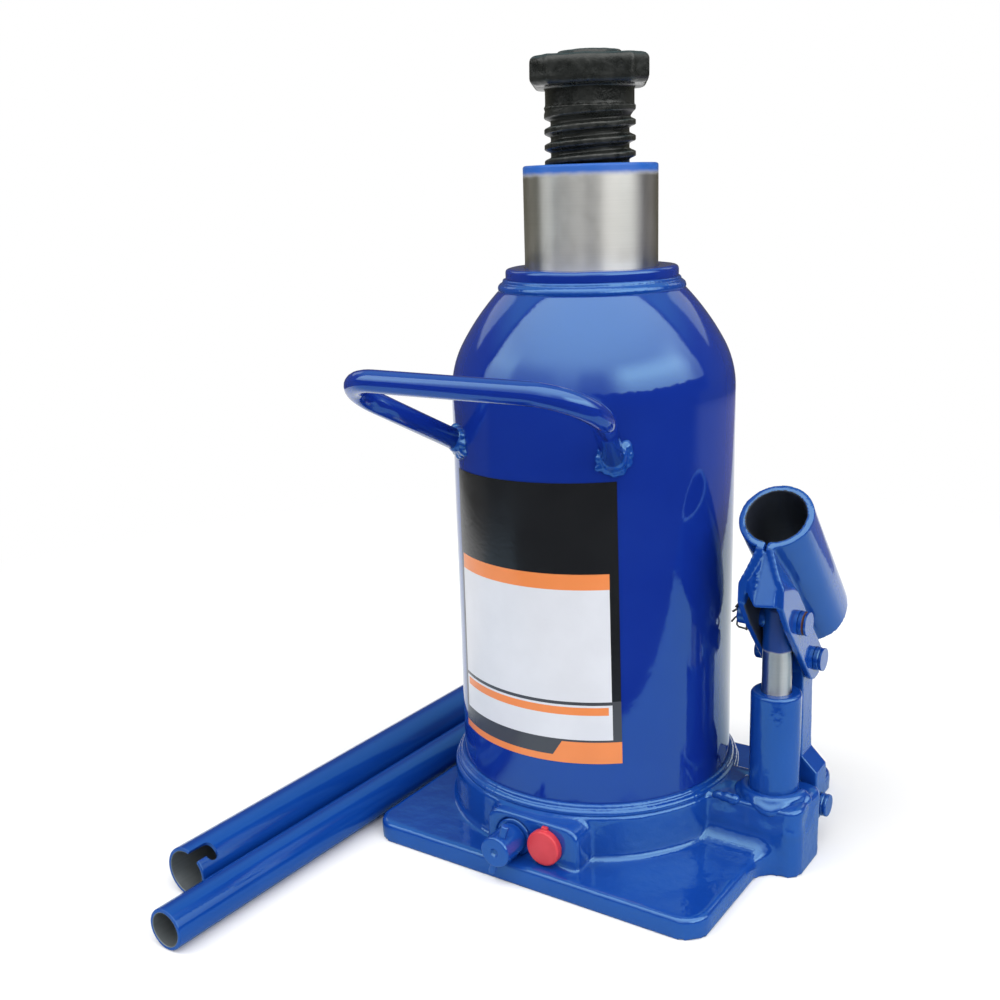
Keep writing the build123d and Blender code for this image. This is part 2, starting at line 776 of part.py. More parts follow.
# Link: a bar with an eye between the cheeks and a fork astride the base lug
with BuildPart() as pump_link:
    with BuildSketch(Plane(foot_pivot, x_dir=(1, 0, 0), z_dir=Vector(1, 0, 0).cross(link_up))):
        with BuildLine():
            Polyline(
                (0, fork_crotch),
                (tine_in, fork_crotch),
                (tine_in, -link_foot_r),
                (tine_out, -link_foot_r),
                (tine_out, fork_shoulder),
                (plunger_r, fork_shoulder + tine_out - plunger_r),
                (plunger_r, link_length + link_eye_r),
                (0, link_length + link_eye_r),
            )
            mirror(about=Plane.YZ)
        make_face()
    extrude(amount=link_depth, both=True)
    with BuildSketch(Plane(foot_pivot, x_dir=link_up, z_dir=(1, 0, 0))):
        Circle(link_foot_r)
        with Locations((link_length / 2, 0)):
            Rectangle(link_length, link_depth)
        with Locations((link_length, 0)):
            Circle(link_eye_r)
    extrude(amount=tine_out, both=True, mode=Mode.INTERSECT)
    extrude(
        round_face(facing_pump(pump_x - boss_right, foot_pivot), pin_r + running_gap),
        amount=2 * boss_right,
        mode=Mode.SUBTRACT,
    )
    extrude(
        round_face(facing_pump(pump_x - boss_right, link_pivot), pin_r + open_pivot_gap),
        amount=2 * boss_right,
        mode=Mode.SUBTRACT,
    )
pump_link.part.label = "pump_link"
export_step(pump_link.part, "parts/pump_link.step")


def headed_pin(pivot, half_width):
    """Pin along X: a round head outside half_width and a drilled tail on the tank's side."""
    with BuildPart() as pin:
        extrude(round_face(facing_pump(pump_x + half_width, pivot), pin_head_d / 2), amount=pin_head)
        fillet(pin.edges().group_by(Axis.X)[-1], pin_head / 3)
        extrude(
            round_face(facing_pump(pump_x + half_width, pivot), pin_r), amount=-(2 * half_width + pin_tail)
        )
        chamfer(pin.edges().group_by(Axis.X)[0], pin_r / 5)
        extrude(
            round_face(
                level(pivot.Z - pin_d, pump_x - half_width - pin_tail / 2, pivot.Y),
                cotter_d / 2 + seat_gap,
            ),
            amount=2 * pin_d,
            mode=Mode.SUBTRACT,
        )
    return pin


def split_cotter(pivot, half_width):
    """Split pin down through a pin's tail: eye above, two spread legs below."""
    x = pump_x - half_width - pin_tail / 2
    top = pivot.Z + pin_r + cotter_d / 2
    low = pivot.Z - pin_r - cotter_d / 4
    with BuildPart() as cotter:
        extrude(round_face(level(low, x, pivot.Y), cotter_d / 2), amount=top - low)
        with Locations(Location((x, pivot.Y, top + cotter_eye_r), (90, 0, 0))):
            Torus(cotter_eye_r, cotter_d / 3)
        for side in (-1, 1):
            lean = radians(cotter_spread) * side
            leg = Vector(0, sin(lean), -cos(lean))
            start = Vector(x, pivot.Y + side * cotter_d / 5, low + cotter_d / 2)
            extrude(round_face(Plane(start, z_dir=leg), cotter_d / 4), amount=cotter_leg)
    return cotter


# Pins of the plunger, the link and the link's foot, each with its cotter
plunger_pin = headed_pin(plunger_pivot, cheek_out)
plunger_pin.part.label = "plunger_pin"
export_step(plunger_pin.part, "parts/plunger_pin.step")

link_pin = headed_pin(link_pivot, cheek_out)
link_pin.part.label = "link_pin"
export_step(link_pin.part, "parts/link_pin.step")

base_pin = headed_pin(foot_pivot, tine_out + side_gap)
base_pin.part.label = "base_pin"
export_step(base_pin.part, "parts/base_pin.step")

plunger_pin_cotter = split_cotter(plunger_pivot, cheek_out)
plunger_pin_cotter.part.label = "plunger_pin_cotter"
export_step(plunger_pin_cotter.part, "parts/plunger_pin_cotter.step")

link_pin_cotter = split_cotter(link_pivot, cheek_out)
link_pin_cotter.part.label = "link_pin_cotter"
export_step(link_pin_cotter.part, "parts/link_pin_cotter.step")

base_pin_cotter = split_cotter(foot_pivot, tine_out + side_gap)
base_pin_cotter.part.label = "base_pin_cotter"
export_step(base_pin_cotter.part, "parts/base_pin_cotter.step")

# Release valve: gland nut, stem, cross pin and ball
with BuildPart() as release_gland:
    extrude(
        round_face(release_front, gland_d / 2, release_thread_d / 2 + running_gap), amount=-gland_depth
    )
release_gland.part.label = "release_gland"
export_step(release_gland.part, "parts/release_gland.step")

release_end = pad_face + release_reach
release_pin_reach = release_end - release_pin_from_end
release_pin_dir = Vector(sin(radians(release_pin_turn)), 0, cos(radians(release_pin_turn)))
release_pin_middle = Vector(release_x, -release_pin_reach, release_z)
release_pin_plane = Plane(
    release_pin_middle - release_pin_dir * (release_pin_length / 2), z_dir=release_pin_dir
)
with BuildPart() as release_valve:
    stem_back = facing_front(pad_face + side_gap, release_x, release_z)
    extrude(round_face(stem_back, release_stem_d / 2), amount=release_reach - side_gap)
    chamfer(release_valve.edges().group_by(Axis.Y)[0], release_chamfer)
    extrude(
        round_face(stem_back, release_thread_d / 2), amount=release_ball_reach - pad_face - side_gap
    )
    with Locations((release_x, -release_ball_reach, release_z)):
        Sphere(release_ball_d / 2 + running_gap, mode=Mode.SUBTRACT)
    extrude(
        round_face(release_pin_plane, release_pin_d / 2 + seat_gap),
        amount=release_pin_length,
        mode=Mode.SUBTRACT,
    )
release_valve.part.label = "release_valve"
export_step(release_valve.part, "parts/release_valve.step")

with BuildPart() as release_cross_pin:
    extrude(round_face(release_pin_plane, release_pin_d / 2), amount=release_pin_length)
    fillet(release_cross_pin.edges().filter_by(GeomType.CIRCLE), release_pin_d / 6)
release_cross_pin.part.label = "release_cross_pin"
export_step(release_cross_pin.part, "parts/release_cross_pin.step")

with BuildPart() as release_ball:
    with Locations((release_x, -release_ball_reach, release_z)):
        Sphere(release_ball_d / 2)
release_ball.part.label = "release_ball"
export_step(release_ball.part, "parts/release_ball.step")

# Safety valve: plastic cap, adjusting screw, spring and ball
with BuildPart() as safety_cap:
    extrude(round_face(safety_front, safety_cap_d / 2), amount=safety_cap_thick)
    with BuildSketch(facing_front(pad_face, safety_x, safety_z + safety_cap_d / 2)):
        Rectangle(2 * safety_tab, 2 * safety_tab)
    extrude(amount=safety_cap_thick / 2)
    fillet(safety_cap.faces().sort_by(Axis.Y)[0].edges(), safety_cap_thick / 4)
    extrude(round_face(safety_front, safety_bore_d / 2 - seat_gap), amount=-safety_cap_plug)
safety_cap.part.label = "safety_cap"
export_step(safety_cap.part, "parts/safety_cap.step")

adjuster_front = facing_front(pad_face - adjuster_depth, safety_x, safety_z)
with BuildPart() as safety_adjuster:
    extrude(round_face(adjuster_front, safety_bore_d / 2 - seat_gap), amount=-adjuster_length)
    with BuildSketch(adjuster_front):
        RegularPolygon(safety_bore_d / 4, 6)
    extrude(amount=-adjuster_length / 2, mode=Mode.SUBTRACT)
safety_adjuster.part.label = "safety_adjuster"
export_step(safety_adjuster.part, "parts/safety_adjuster.step")

spring_r = safety_ball_d / 2
spring_front = pad_face - adjuster_depth - adjuster_length
with BuildPart() as safety_spring:
    extrude(
        round_face(facing_front(spring_front, safety_x, safety_z), spring_r, spring_r - spring_wire),
        amount=safety_ball_reach + spring_r - spring_front,
    )
safety_spring.part.label = "safety_spring"
export_step(safety_spring.part, "parts/safety_spring.step")

with BuildPart() as safety_ball:
    with Locations((safety_x, -safety_ball_reach, safety_z)):
        Sphere(safety_ball_d / 2)
safety_ball.part.label = "safety_ball"
export_step(safety_ball.part, "parts/safety_ball.step")

# Suction valve under the tank: ball, spring and screw plug from below
suction_plug_top = suction_plug_low + suction_plug_height
with BuildPart() as suction_plug:
    extrude(
        round_face(level(suction_plug_low, suction_x), suction_chamber_d / 2 - seat_gap),
        amount=suction_plug_height,
    )
    with BuildSketch(level(suction_plug_low, suction_x)):
        RegularPolygon(suction_chamber_d / 4, 6)
    extrude(amount=suction_plug_height / 2, mode=Mode.SUBTRACT)
suction_plug.part.label = "suction_plug"
export_step(suction_plug.part, "parts/suction_plug.step")

with BuildPart() as suction_spring:
    spring_top = suction_ball_z - check_ball_d / 2
    extrude(
        round_face(level(suction_plug_top, suction_x), check_ball_d / 4, check_ball_d / 4 - spring_wire),
        amount=spring_top - suction_plug_top,
    )
suction_spring.part.label = "suction_spring"
export_step(suction_spring.part, "parts/suction_spring.step")

with BuildPart() as suction_ball:
    with Locations((suction_x, 0, suction_ball_z)):
        Sphere(check_ball_d / 2)
suction_ball.part.label = "suction_ball"
export_step(suction_ball.part, "parts/suction_ball.step")

# Delivery valve under the ram: ball and slotted retainer
with BuildPart() as delivery_ball:
    with Locations((delivery_x, 0, delivery_ball_z)):
        Sphere(check_ball_d / 2)
delivery_ball.part.label = "delivery_ball"
export_step(delivery_ball.part, "parts/delivery_ball.step")

with BuildPart() as delivery_retainer:
    extrude(
        round_face(
            level(cylinder_floor - delivery_retainer_height, delivery_x),
            delivery_chamber_d / 2 - seat_gap,
            oil_way_d / 2,
        ),
        amount=delivery_retainer_height,
    )
delivery_retainer.part.label = "delivery_retainer"
export_step(delivery_retainer.part, "parts/delivery_retainer.step")

# Rubber filler plug at the back of the tank
with BuildPart() as filler_plug:
    filler_back = Plane((0, 0, filler_z), x_dir=(1, 0, 0), z_dir=(0, 1, 0))
    extrude(round_face(filler_back.offset(tank_r - filler_head), filler_head_d / 2), amount=2 * filler_head)
    fillet(filler_plug.edges().group_by(Axis.Y)[-1], filler_head / 3)
    extrude(round_face(level(0), tank_r + label_gap), amount=2 * filler_z, mode=Mode.SUBTRACT)
    extrude(
        round_face(filler_back.offset(tank_r - 2 * tank_wall), filler_d / 2),
        amount=2 * tank_wall + filler_head / 2,
    )
filler_plug.part.label = "filler_plug"
export_step(filler_plug.part, "parts/filler_plug.step")

# Carry handle: a bent rod welded to the tank at both feet
foot_x = tank_r * cos(radians(handle_foot_angle))
foot_y = tank_r * sin(radians(handle_foot_angle))
handle_front = tank_r + handle_reach
leg_out = Vector(0, foot_y - handle_front, handle_rise)
handle_plane = Plane(
    (0, -handle_front, handle_foot_z + handle_rise),
    x_dir=(1, 0, 0),
    z_dir=Vector(1, 0, 0).cross(-leg_out),
)
leg_end_x = handle_half_width - handle_leg_reach * (handle_half_width - foot_x)
leg_end_y = handle_leg_reach * leg_out.length
with BuildPart() as carry_handle:
    with BuildLine(handle_plane) as handle_path:
        FilletPolyline(
            (-leg_end_x, leg_end_y),
            (-handle_half_width, 0),
            (handle_half_width, 0),
            (leg_end_x, leg_end_y),
            radius=handle_bend_r,
        )
    with BuildSketch(Plane(handle_path.line @ 0, z_dir=handle_path.line % 0)):
        Circle(handle_rod_d / 2)
    sweep()
    extrude(round_face(level(0), tank_r + label_gap), amount=collar_top, mode=Mode.SUBTRACT)
carry_handle.part.label = "carry_handle"
export_step(carry_handle.part, "parts/carry_handle.step")

with BuildPart() as carry_handle_welds:
    with Locations((-foot_x, -foot_y, handle_foot_z), (foot_x, -foot_y, handle_foot_z)):
        Sphere(handle_bead_r)
    extrude(round_face(level(0), tank_r + label_gap), amount=collar_top, mode=Mode.SUBTRACT)
    add(carry_handle.part, mode=Mode.SUBTRACT)
carry_handle_welds.part.label = "carry_handle_welds"
export_step(carry_handle_welds.part, "parts/carry_handle_welds.step")

# Blank label round the front of the tank
with BuildPart() as label_plate:
    with BuildSketch(Plane.XZ):
        with Locations((tank_r + label_gap + label_thick / 2, (label_low + label_high) / 2)):
            Rectangle(label_thick, label_high - label_low)
    revolve(axis=Axis((0, 0, 0), (0, 0, 1)), revolution_arc=2 * label_half_angle)
label_plate.part = label_plate.part.rotate(Axis.Z, -90 - label_half_angle)
label_plate.part.label = "label_plate"
export_step(label_plate.part, "parts/label_plate.step")

# Handle tubes lying beside the base, turned a little towards it at their far ends
tube_line = Vector(sin(radians(handle_tube_turn)), cos(radians(handle_tube_turn)), 0)
tube_side = Vector(cos(radians(handle_tube_turn)), -sin(radians(handle_tube_turn)), 0)
plain_tube_x = -(plate_left + plain_tube_from_plate + plain_tube_d / 2)
slotted_tube_x = plain_tube_x - plain_tube_d / 2 - handle_tube_gap - slotted_tube_d / 2


def tube_ring(x, near, outer_d):
    """Ring of a handle tube that lies on the ground, at its near end and facing along it."""
    end = Plane((x, -near, outer_d / 2), x_dir=tube_side, z_dir=tube_line)
    return round_face(end, outer_d / 2, outer_d / 2 - handle_tube_wall)


with BuildPart() as handle_tube_plain:
    extrude(tube_ring(plain_tube_x, plain_tube_near, plain_tube_d), amount=handle_tube_length)
handle_tube_plain.part.label = "handle_tube_plain"
export_step(handle_tube_plain.part, "parts/handle_tube_plain.step")

with BuildPart() as handle_tube_slotted:
    extrude(tube_ring(slotted_tube_x, slotted_tube_near, slotted_tube_d), amount=handle_tube_length)
    # Hooked slot in the near end
    slot_out = tube_side * cos(radians(slot_angle)) + Vector(0, 0, sin(radians(slot_angle)))
    slot_middle = Vector(slotted_tube_x, -slotted_tube_near, slotted_tube_d / 2)
    with BuildSketch(Plane(slot_middle, x_dir=tube_line, z_dir=slot_out)):
        with Locations((slot_depth / 2, 0)):
            Rectangle(slot_depth, slot_width)
        with Locations((slot_depth, -slot_hook / 2)):
            SlotCenterToCenter(slot_hook, slot_width, rotation=90)
    extrude(amount=slotted_tube_d, mode=Mode.SUBTRACT)
handle_tube_slotted.part.label = "handle_tube_slotted"
export_step(handle_tube_slotted.part, "parts/handle_tube_slotted.step")
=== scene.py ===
# %% [markdown]
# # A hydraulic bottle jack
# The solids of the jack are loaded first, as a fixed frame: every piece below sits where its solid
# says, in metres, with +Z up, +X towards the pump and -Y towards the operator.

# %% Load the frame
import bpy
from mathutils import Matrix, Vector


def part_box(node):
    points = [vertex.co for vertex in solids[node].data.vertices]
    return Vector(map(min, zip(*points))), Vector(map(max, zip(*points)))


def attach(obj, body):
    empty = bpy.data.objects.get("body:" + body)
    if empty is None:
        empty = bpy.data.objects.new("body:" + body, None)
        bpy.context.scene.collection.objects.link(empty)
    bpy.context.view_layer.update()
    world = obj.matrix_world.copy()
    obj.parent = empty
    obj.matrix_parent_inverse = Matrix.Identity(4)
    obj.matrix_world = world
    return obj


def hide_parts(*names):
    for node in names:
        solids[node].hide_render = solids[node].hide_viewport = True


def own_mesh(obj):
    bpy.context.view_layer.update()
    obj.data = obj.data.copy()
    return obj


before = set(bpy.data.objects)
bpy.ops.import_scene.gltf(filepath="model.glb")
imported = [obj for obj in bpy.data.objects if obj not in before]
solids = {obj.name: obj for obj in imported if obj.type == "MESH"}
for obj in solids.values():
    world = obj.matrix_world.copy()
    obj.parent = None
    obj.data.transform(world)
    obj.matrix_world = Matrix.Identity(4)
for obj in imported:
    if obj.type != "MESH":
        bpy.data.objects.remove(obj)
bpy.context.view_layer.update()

import math

import bmesh
import bpy
import numpy as np
from mathutils import Matrix, Vector, noise

MM = 0.001


# %% [markdown]
# ## The camera
# A product photograph is taken from slightly above, here from the operator's right. A camera could
# be set by eye. Here its place, direction and lens were fitted to the outlines of the tank and the
# base plate, so the picture and the render can be laid over each other. The camera's axes are
# built from three turns.

# %% Camera
def add_to_scene(name, data):
    """A new object in the scene."""
    item = bpy.data.objects.new(name, data)
    bpy.context.scene.collection.objects.link(item)
    return item


camera_place = Vector((0.23089, -0.40496, 0.25197))
camera_yaw = math.radians(34.2196)
camera_pitch = math.radians(14.4025)
camera_roll = math.radians(-1.7253)

ahead = Vector((
    -math.sin(camera_yaw) * math.cos(camera_pitch),
    math.cos(camera_yaw) * math.cos(camera_pitch),
    -math.sin(camera_pitch),
))
level_right = Vector((math.cos(camera_yaw), math.sin(camera_yaw), 0))
level_up = level_right.cross(ahead)
right = level_right * math.cos(camera_roll) + level_up * math.sin(camera_roll)
up = level_up * math.cos(camera_roll) - level_right * math.sin(camera_roll)

camera_data = bpy.data.cameras.new("camera")
camera_data.lens = 44.012
camera_data.sensor_width = 36.0
camera = add_to_scene("camera", camera_data)
camera_turn = Matrix((right, up, -ahead)).transposed().to_4x4()
camera.matrix_world = Matrix.Translation(camera_place) @ camera_turn
bpy.context.scene.camera = camera
bpy.context.scene.view_settings.view_transform = "Standard"
print("camera at", tuple(round(v, 3) for v in camera_place))


# %% [markdown]
# ## Small helpers for shader nodes
# Node trees are easier to read when a node's inputs are filled in one call. `feed` takes either a
# plain value or another node's output for each socket, and the other helpers give the output of
# one kind of node each.

# %% Node helpers
def feed(tree, socket, value):
    """Links an output to a socket, or sets the socket's own value."""
    if isinstance(value, bpy.types.NodeSocket):
        tree.links.new(value, socket)
    else:
        socket.default_value = value


def add_node(tree, kind, inputs=None, **settings):
    """A node with its settings and its inputs, which are given by name or by number."""
    node = tree.nodes.new(kind)
    for key, value in settings.items():
        setattr(node, key, value)
    for key, value in (inputs or {}).items():
        feed(tree, node.inputs[key], value)
    return node


print("helpers for inputs ready")


# %% Kinds of node
def math_node(tree, operation, first, second=0.0, third=0.0):
    """The output of one Math node."""
    inputs = {0: first, 1: second, 2: third}
    return add_node(tree, "ShaderNodeMath", inputs, operation=operation).outputs[0]


def both(tree, first, second):
    """Product of two masks."""
    return math_node(tree, "MULTIPLY", first, second)


def either(tree, first, second):
    """The greater of two masks."""
    return math_node(tree, "MAXIMUM", first, second)


def ramp_between(tree, value, low, high, start=0.0, end=1.0):
    """A smooth step from start to end as the value goes from low to high."""
    inputs = {"Value": value, "From Min": low, "From Max": high, "To Min": start, "To Max": end}
    return add_node(tree, "ShaderNodeMapRange", inputs, interpolation_type="SMOOTHSTEP").outputs[0]


def vector_node(tree, operation, first, second=(0, 0, 0)):
    """The outputs of one Vector Math node."""
    inputs = {0: first, 1: second}
    return add_node(tree, "ShaderNodeVectorMath", inputs, operation=operation).outputs


def noise_node(tree, place, scale, detail=2.0):
    """Noise from 0 to 1."""
    inputs = {"Vector": place, "Scale": scale, "Detail": detail}
    return add_node(tree, "ShaderNodeTexNoise", inputs).outputs["Fac"]


def mix_colours(tree, share, first, second, blend="MIX"):
    """The colour between two others."""
    inputs = {"Factor": share, "A": first, "B": second}
    node = add_node(tree, "ShaderNodeMix", data_type="RGBA", blend_type=blend)
    for socket in node.inputs:
        if socket.enabled and socket.name in inputs:
            feed(tree, socket, inputs[socket.name])
    return next(s for s in node.outputs if s.enabled)


print("node helpers ready")


# %% [markdown]
# ## Light
# Lamps alone could light the jack, but gloss paint shows its surroundings, so the light is a room:
# a broad soft front of light that starts at an uneven skyline, two tall openings towards the back,
# and a dim room elsewhere with a paler ceiling, which gloss sees in a cool tint. It is drawn in
# the world by direction, which needs no walls. The camera itself sees plain white.

# %% Directions in the room
front_azimuth = -60.0
openings_at = (163.0, 76.0)

world = bpy.data.worlds.new("studio")
bpy.context.scene.world = world
world.use_nodes = True
room = world.node_tree
room.nodes.clear()
direction = add_node(room, "ShaderNodeTexCoord").outputs["Generated"]
height = add_node(room, "ShaderNodeSeparateXYZ", {0: direction}).outputs["Z"]
flat = vector_node(room, "MULTIPLY", direction, (1, 1, 0))["Vector"]
level_dir = vector_node(room, "NORMALIZE", flat)["Vector"]


def distance_along(tree, spot, azimuth):
    """How far a spot lies towards an azimuth in degrees, 0 along +X."""
    towards = (math.cos(math.radians(azimuth)), math.sin(math.radians(azimuth)), 0.0)
    return vector_node(tree, "DOT_PRODUCT", spot, towards)["Value"]


def facing(azimuth):
    """Cosine between a direction's level part and an azimuth."""
    return distance_along(room, level_dir, azimuth)


print("front of the light at azimuth", front_azimuth)

# %% Sky and openings
skyline = noise_node(room, level_dir, 9.0, 4.0)
over_skyline = math_node(room, "MULTIPLY_ADD", skyline, -0.09, height)
in_sky = ramp_between(room, facing(front_azimuth), -0.20, -0.15)
sky = both(room, in_sky, ramp_between(room, over_skyline, 0.12, 0.135))
sky = both(room, sky, ramp_between(room, height, 0.1, 0.97, 0.72, 2.75))

# Each patch: its azimuth, the cosines at which it starts and is full, and its gain.
sky_patches = ((-6.0, 0.75, 0.93, 1.7), (-146.0, 0.955, 0.99, 0.75),
               (-60.0, 0.965, 0.995, -0.40), (-112.0, 0.90, 0.99, -0.28))
uneven = 0.0
for azimuth, start, full, gain in sky_patches:
    patch = ramp_between(room, facing(azimuth), start, full, 0.0, gain)
    uneven = math_node(room, "ADD", uneven, patch)
low_share = ramp_between(room, height, 0.70, 0.40)
sky = both(room, sky, math_node(room, "MULTIPLY_ADD", uneven, low_share, 1.0))

openings = 0.0
for azimuth in openings_at:
    tall = both(room, ramp_between(room, height, 0.30, 0.33),
                ramp_between(room, height, 0.62, 0.57, 0.0, 0.8))
    opening = both(room, ramp_between(room, facing(azimuth), 0.981, 0.986), tall)
    openings = math_node(room, "ADD", opening, openings)
lit = math_node(room, "ADD", sky, openings)
print("sky with", len(sky_patches), "patches and", len(openings_at), "openings")

# %% Walls and ceiling
white = (1, 1, 1, 1)
near_black = (0.03, 0.03, 0.03, 1)
wall_brown = (0.12, 0.115, 0.09, 1)
ceiling_grey, ceiling_cool = (0.40, 0.40, 0.39, 1), (0.36, 0.64, 0.72, 1)

path = add_node(room, "ShaderNodeLightPath").outputs
ceiling = mix_colours(room, path["Is Glossy Ray"], ceiling_grey, ceiling_cool)
behind = mix_colours(room, ramp_between(room, height, 0.40, 0.75), wall_brown, ceiling)
in_front = ramp_between(room, facing(front_azimuth), -0.30, -0.15)
dark = mix_colours(room, in_front, behind, near_black)
room_colour = mix_colours(room, 1.0, dark, lit, "ADD")
pale = either(room, path["Is Camera Ray"], path["Is Transmission Ray"])
seen = mix_colours(room, pale, room_colour, white)
background = add_node(room, "ShaderNodeBackground", {"Color": seen})
add_node(room, "ShaderNodeOutputWorld", {"Surface": background.outputs[0]})
print("room nodes:", len(room.nodes))

# %% [markdown]
# A lamp adds what the room alone lacks: a soft shadow under the jack and a lift on its left side.
# Gloss doesn't show it.

# %% Lamp
lamp_place, lamp_aim = Vector((-0.55, -0.35, 0.95)), Vector((0, 0, 0.1))
lamp_data = bpy.data.lights.new("left_lamp", "AREA")
lamp_data.shape = "SQUARE"
lamp_data.size = 0.7
lamp_data.energy = 1.6
lamp = add_to_scene("left_lamp", lamp_data)
look = (lamp_aim - lamp_place).to_track_quat("-Z", "Y")
lamp.matrix_world = Matrix.Translation(lamp_place) @ look.to_matrix().to_4x4()
lamp.visible_glossy = False
print("lamp at", tuple(lamp_place))

# %% [markdown]
# ## Floor
# A pale sheet that fades to the background's white away from the jack, so no horizon shows. It
# takes the jack's shadow. The rest of it is for gloss paint alone: the sheet is bluer in front,
# and it ends a hand's breadth in front of the jack and farther off on its sides. Beyond lies dark
# ground, half lit on the right.

# %% Floor sheet
floor_material = bpy.data.materials.new("pale_floor")
floor_material.use_nodes = True
tree = floor_material.node_tree
tree.nodes.clear()
spot = add_node(tree, "ShaderNodeTexCoord").outputs["Object"]
reach = vector_node(tree, "LENGTH", spot)["Value"]
forwards = distance_along(tree, spot, front_azimuth)
sideways = distance_along(tree, spot, front_azimuth + 90.0)
path = add_node(tree, "ShaderNodeLightPath").outputs
in_gloss = path["Is Glossy Ray"]

paper_low, paper_high = (0.84, 0.84, 0.84, 1), (0.86, 0.86, 0.86, 1)
paper_in_gloss = (0.31, 0.45, 0.57, 1)
paper = mix_colours(tree, noise_node(tree, spot, 30.0), paper_low, paper_high)
near_edge = both(tree, ramp_between(tree, forwards, -0.12, 0.02), in_gloss)
paper = mix_colours(tree, near_edge, paper, paper_in_gloss)
sheet = add_node(tree, "ShaderNodeBsdfDiffuse", {"Color": paper}).outputs[0]
backdrop = add_node(tree, "ShaderNodeEmission", {"Color": white}).outputs[0]
seen = either(tree, either(tree, path["Is Camera Ray"], in_gloss), path["Is Transmission Ray"])
fade = both(tree, ramp_between(tree, reach, 0.22, 0.55), seen)
fade = both(tree, fade, math_node(tree, "SUBTRACT", 1.0, near_edge))
sweep = add_node(tree, "ShaderNodeMixShader", {0: fade, 1: sheet, 2: backdrop}).outputs[0]
print("floor sheet fades to white")

# %% Ground beyond the sheet
ground_brown, ground_lit = (0.10, 0.095, 0.075, 1), (0.33, 0.30, 0.42, 1)
off_sheet = ramp_between(tree, forwards, 0.18, 0.19)
for edge_start, edge_end in ((0.35, 0.36), (-0.45, -0.46)):
    off_sheet = either(tree, off_sheet, ramp_between(tree, sideways, edge_start, edge_end))
gloom = mix_colours(tree, ramp_between(tree, forwards, -0.05, 0.05), ground_brown, near_black)
half_lit = both(tree, ramp_between(tree, reach, 1.15, 0.95),
                ramp_between(tree, sideways, 0.30, 0.40))
half_lit = both(tree, half_lit, ramp_between(tree, forwards, 0.16, -0.06))
gloom = mix_colours(tree, half_lit, gloom, ground_lit)
beyond = add_node(tree, "ShaderNodeEmission", {"Color": gloom}).outputs[0]
past_edge = both(tree, off_sheet, in_gloss)
floor_look = add_node(tree, "ShaderNodeMixShader", {0: past_edge, 1: sweep, 2: beyond})
add_node(tree, "ShaderNodeOutputMaterial", {"Surface": floor_look.outputs[0]})

floor_half, floor_drop = 8.0, 0.0002
floor_corners = [(-floor_half, -floor_half, 0), (floor_half, -floor_half, 0),
                 (floor_half, floor_half, 0), (-floor_half, floor_half, 0)]
floor_mesh = bpy.data.meshes.new("floor")
floor_mesh.from_pydata(floor_corners, [], [(0, 1, 2, 3)])
floor_mesh.materials.append(floor_material)
floor = add_to_scene("floor", floor_mesh)
floor.location.z = -floor_drop
print("floor nodes:", len(tree.nodes))


# %% [markdown]
# ## Surface effects as node groups
# Several finishes share the same effects, so each effect is a node group with named inputs: the
# orange peel of sprayed enamel, the uneven depth of a paint coat, the rings that grinding leaves
# on round steel, and wear on edges.

# %% Effect groups
def effect_group(name, inputs, outputs):
    """An empty shader group with its sockets, and its input and output nodes."""
    group = bpy.data.node_groups.new(name, "ShaderNodeTree")
    for label, default in inputs.items():
        kind = "NodeSocketFloat" if isinstance(default, float) else "NodeSocketColor"
        socket = group.interface.new_socket(label, in_out="INPUT", socket_type=kind)
        socket.default_value = default
    for label, kind in outputs.items():
        group.interface.new_socket(label, in_out="OUTPUT", socket_type=kind)
    given = group.nodes.new("NodeGroupInput").outputs
    return group, given, group.nodes.new("NodeGroupOutput").inputs


def group_noise(group, scale, detail=2.0, stretch=None):
    """Noise on object coordinates, from 0 to 1."""
    place = add_node(group, "ShaderNodeTexCoord").outputs["Object"]
    if stretch:
        inputs = {"Vector": place, "Scale": stretch}
        place = add_node(group, "ShaderNodeMapping", inputs).outputs[0]
    return noise_node(group, place, scale, detail)


print("helpers for groups ready")

# %% Effects of paint
orange_peel, given, result = effect_group(
    "orange_peel",
    {"Pores per metre": 420.0, "Waves per metre": 70.0, "Wave share": 0.7},
    {"Height": "NodeSocketFloat"})
pores = group_noise(orange_peel, given["Pores per metre"], 2.0)
waves = group_noise(orange_peel, given["Waves per metre"], 1.0)
feed(orange_peel, result["Height"],
     math_node(orange_peel, "MULTIPLY_ADD", waves, given["Wave share"], pores))

paint_depth, given, result = effect_group(
    "paint_depth",
    {"Colour": (0.01, 0.04, 0.28, 1), "Thin colour": (0.02, 0.08, 0.4, 1),
     "Patches per metre": 25.0, "Contrast": 0.5},
    {"Colour": "NodeSocketColor", "Patches": "NodeSocketFloat"})
cloud = group_noise(paint_depth, given["Patches per metre"], 3.0)
patches = ramp_between(paint_depth, cloud, 0.3, 0.7)
share = both(paint_depth, patches, given["Contrast"])
feed(paint_depth, result["Colour"],
     mix_colours(paint_depth, share, given["Colour"], given["Thin colour"]))
feed(paint_depth, result["Patches"], patches)
print("effects:", orange_peel.name, "and", paint_depth.name)

# %% Effects of grinding and wear
ground_rings, given, result = effect_group(
    "ground_rings",
    {"Rings per metre": 2600.0},
    {"Height": "NodeSocketFloat", "Tone": "NodeSocketFloat"})
fine = group_noise(ground_rings, given["Rings per metre"], 3.0, (0.012, 0.012, 1.0))
cloud = group_noise(ground_rings, 60.0, 2.0)
feed(ground_rings, result["Height"], fine)
feed(ground_rings, result["Tone"], math_node(ground_rings, "MULTIPLY_ADD", fine, 0.5, cloud))

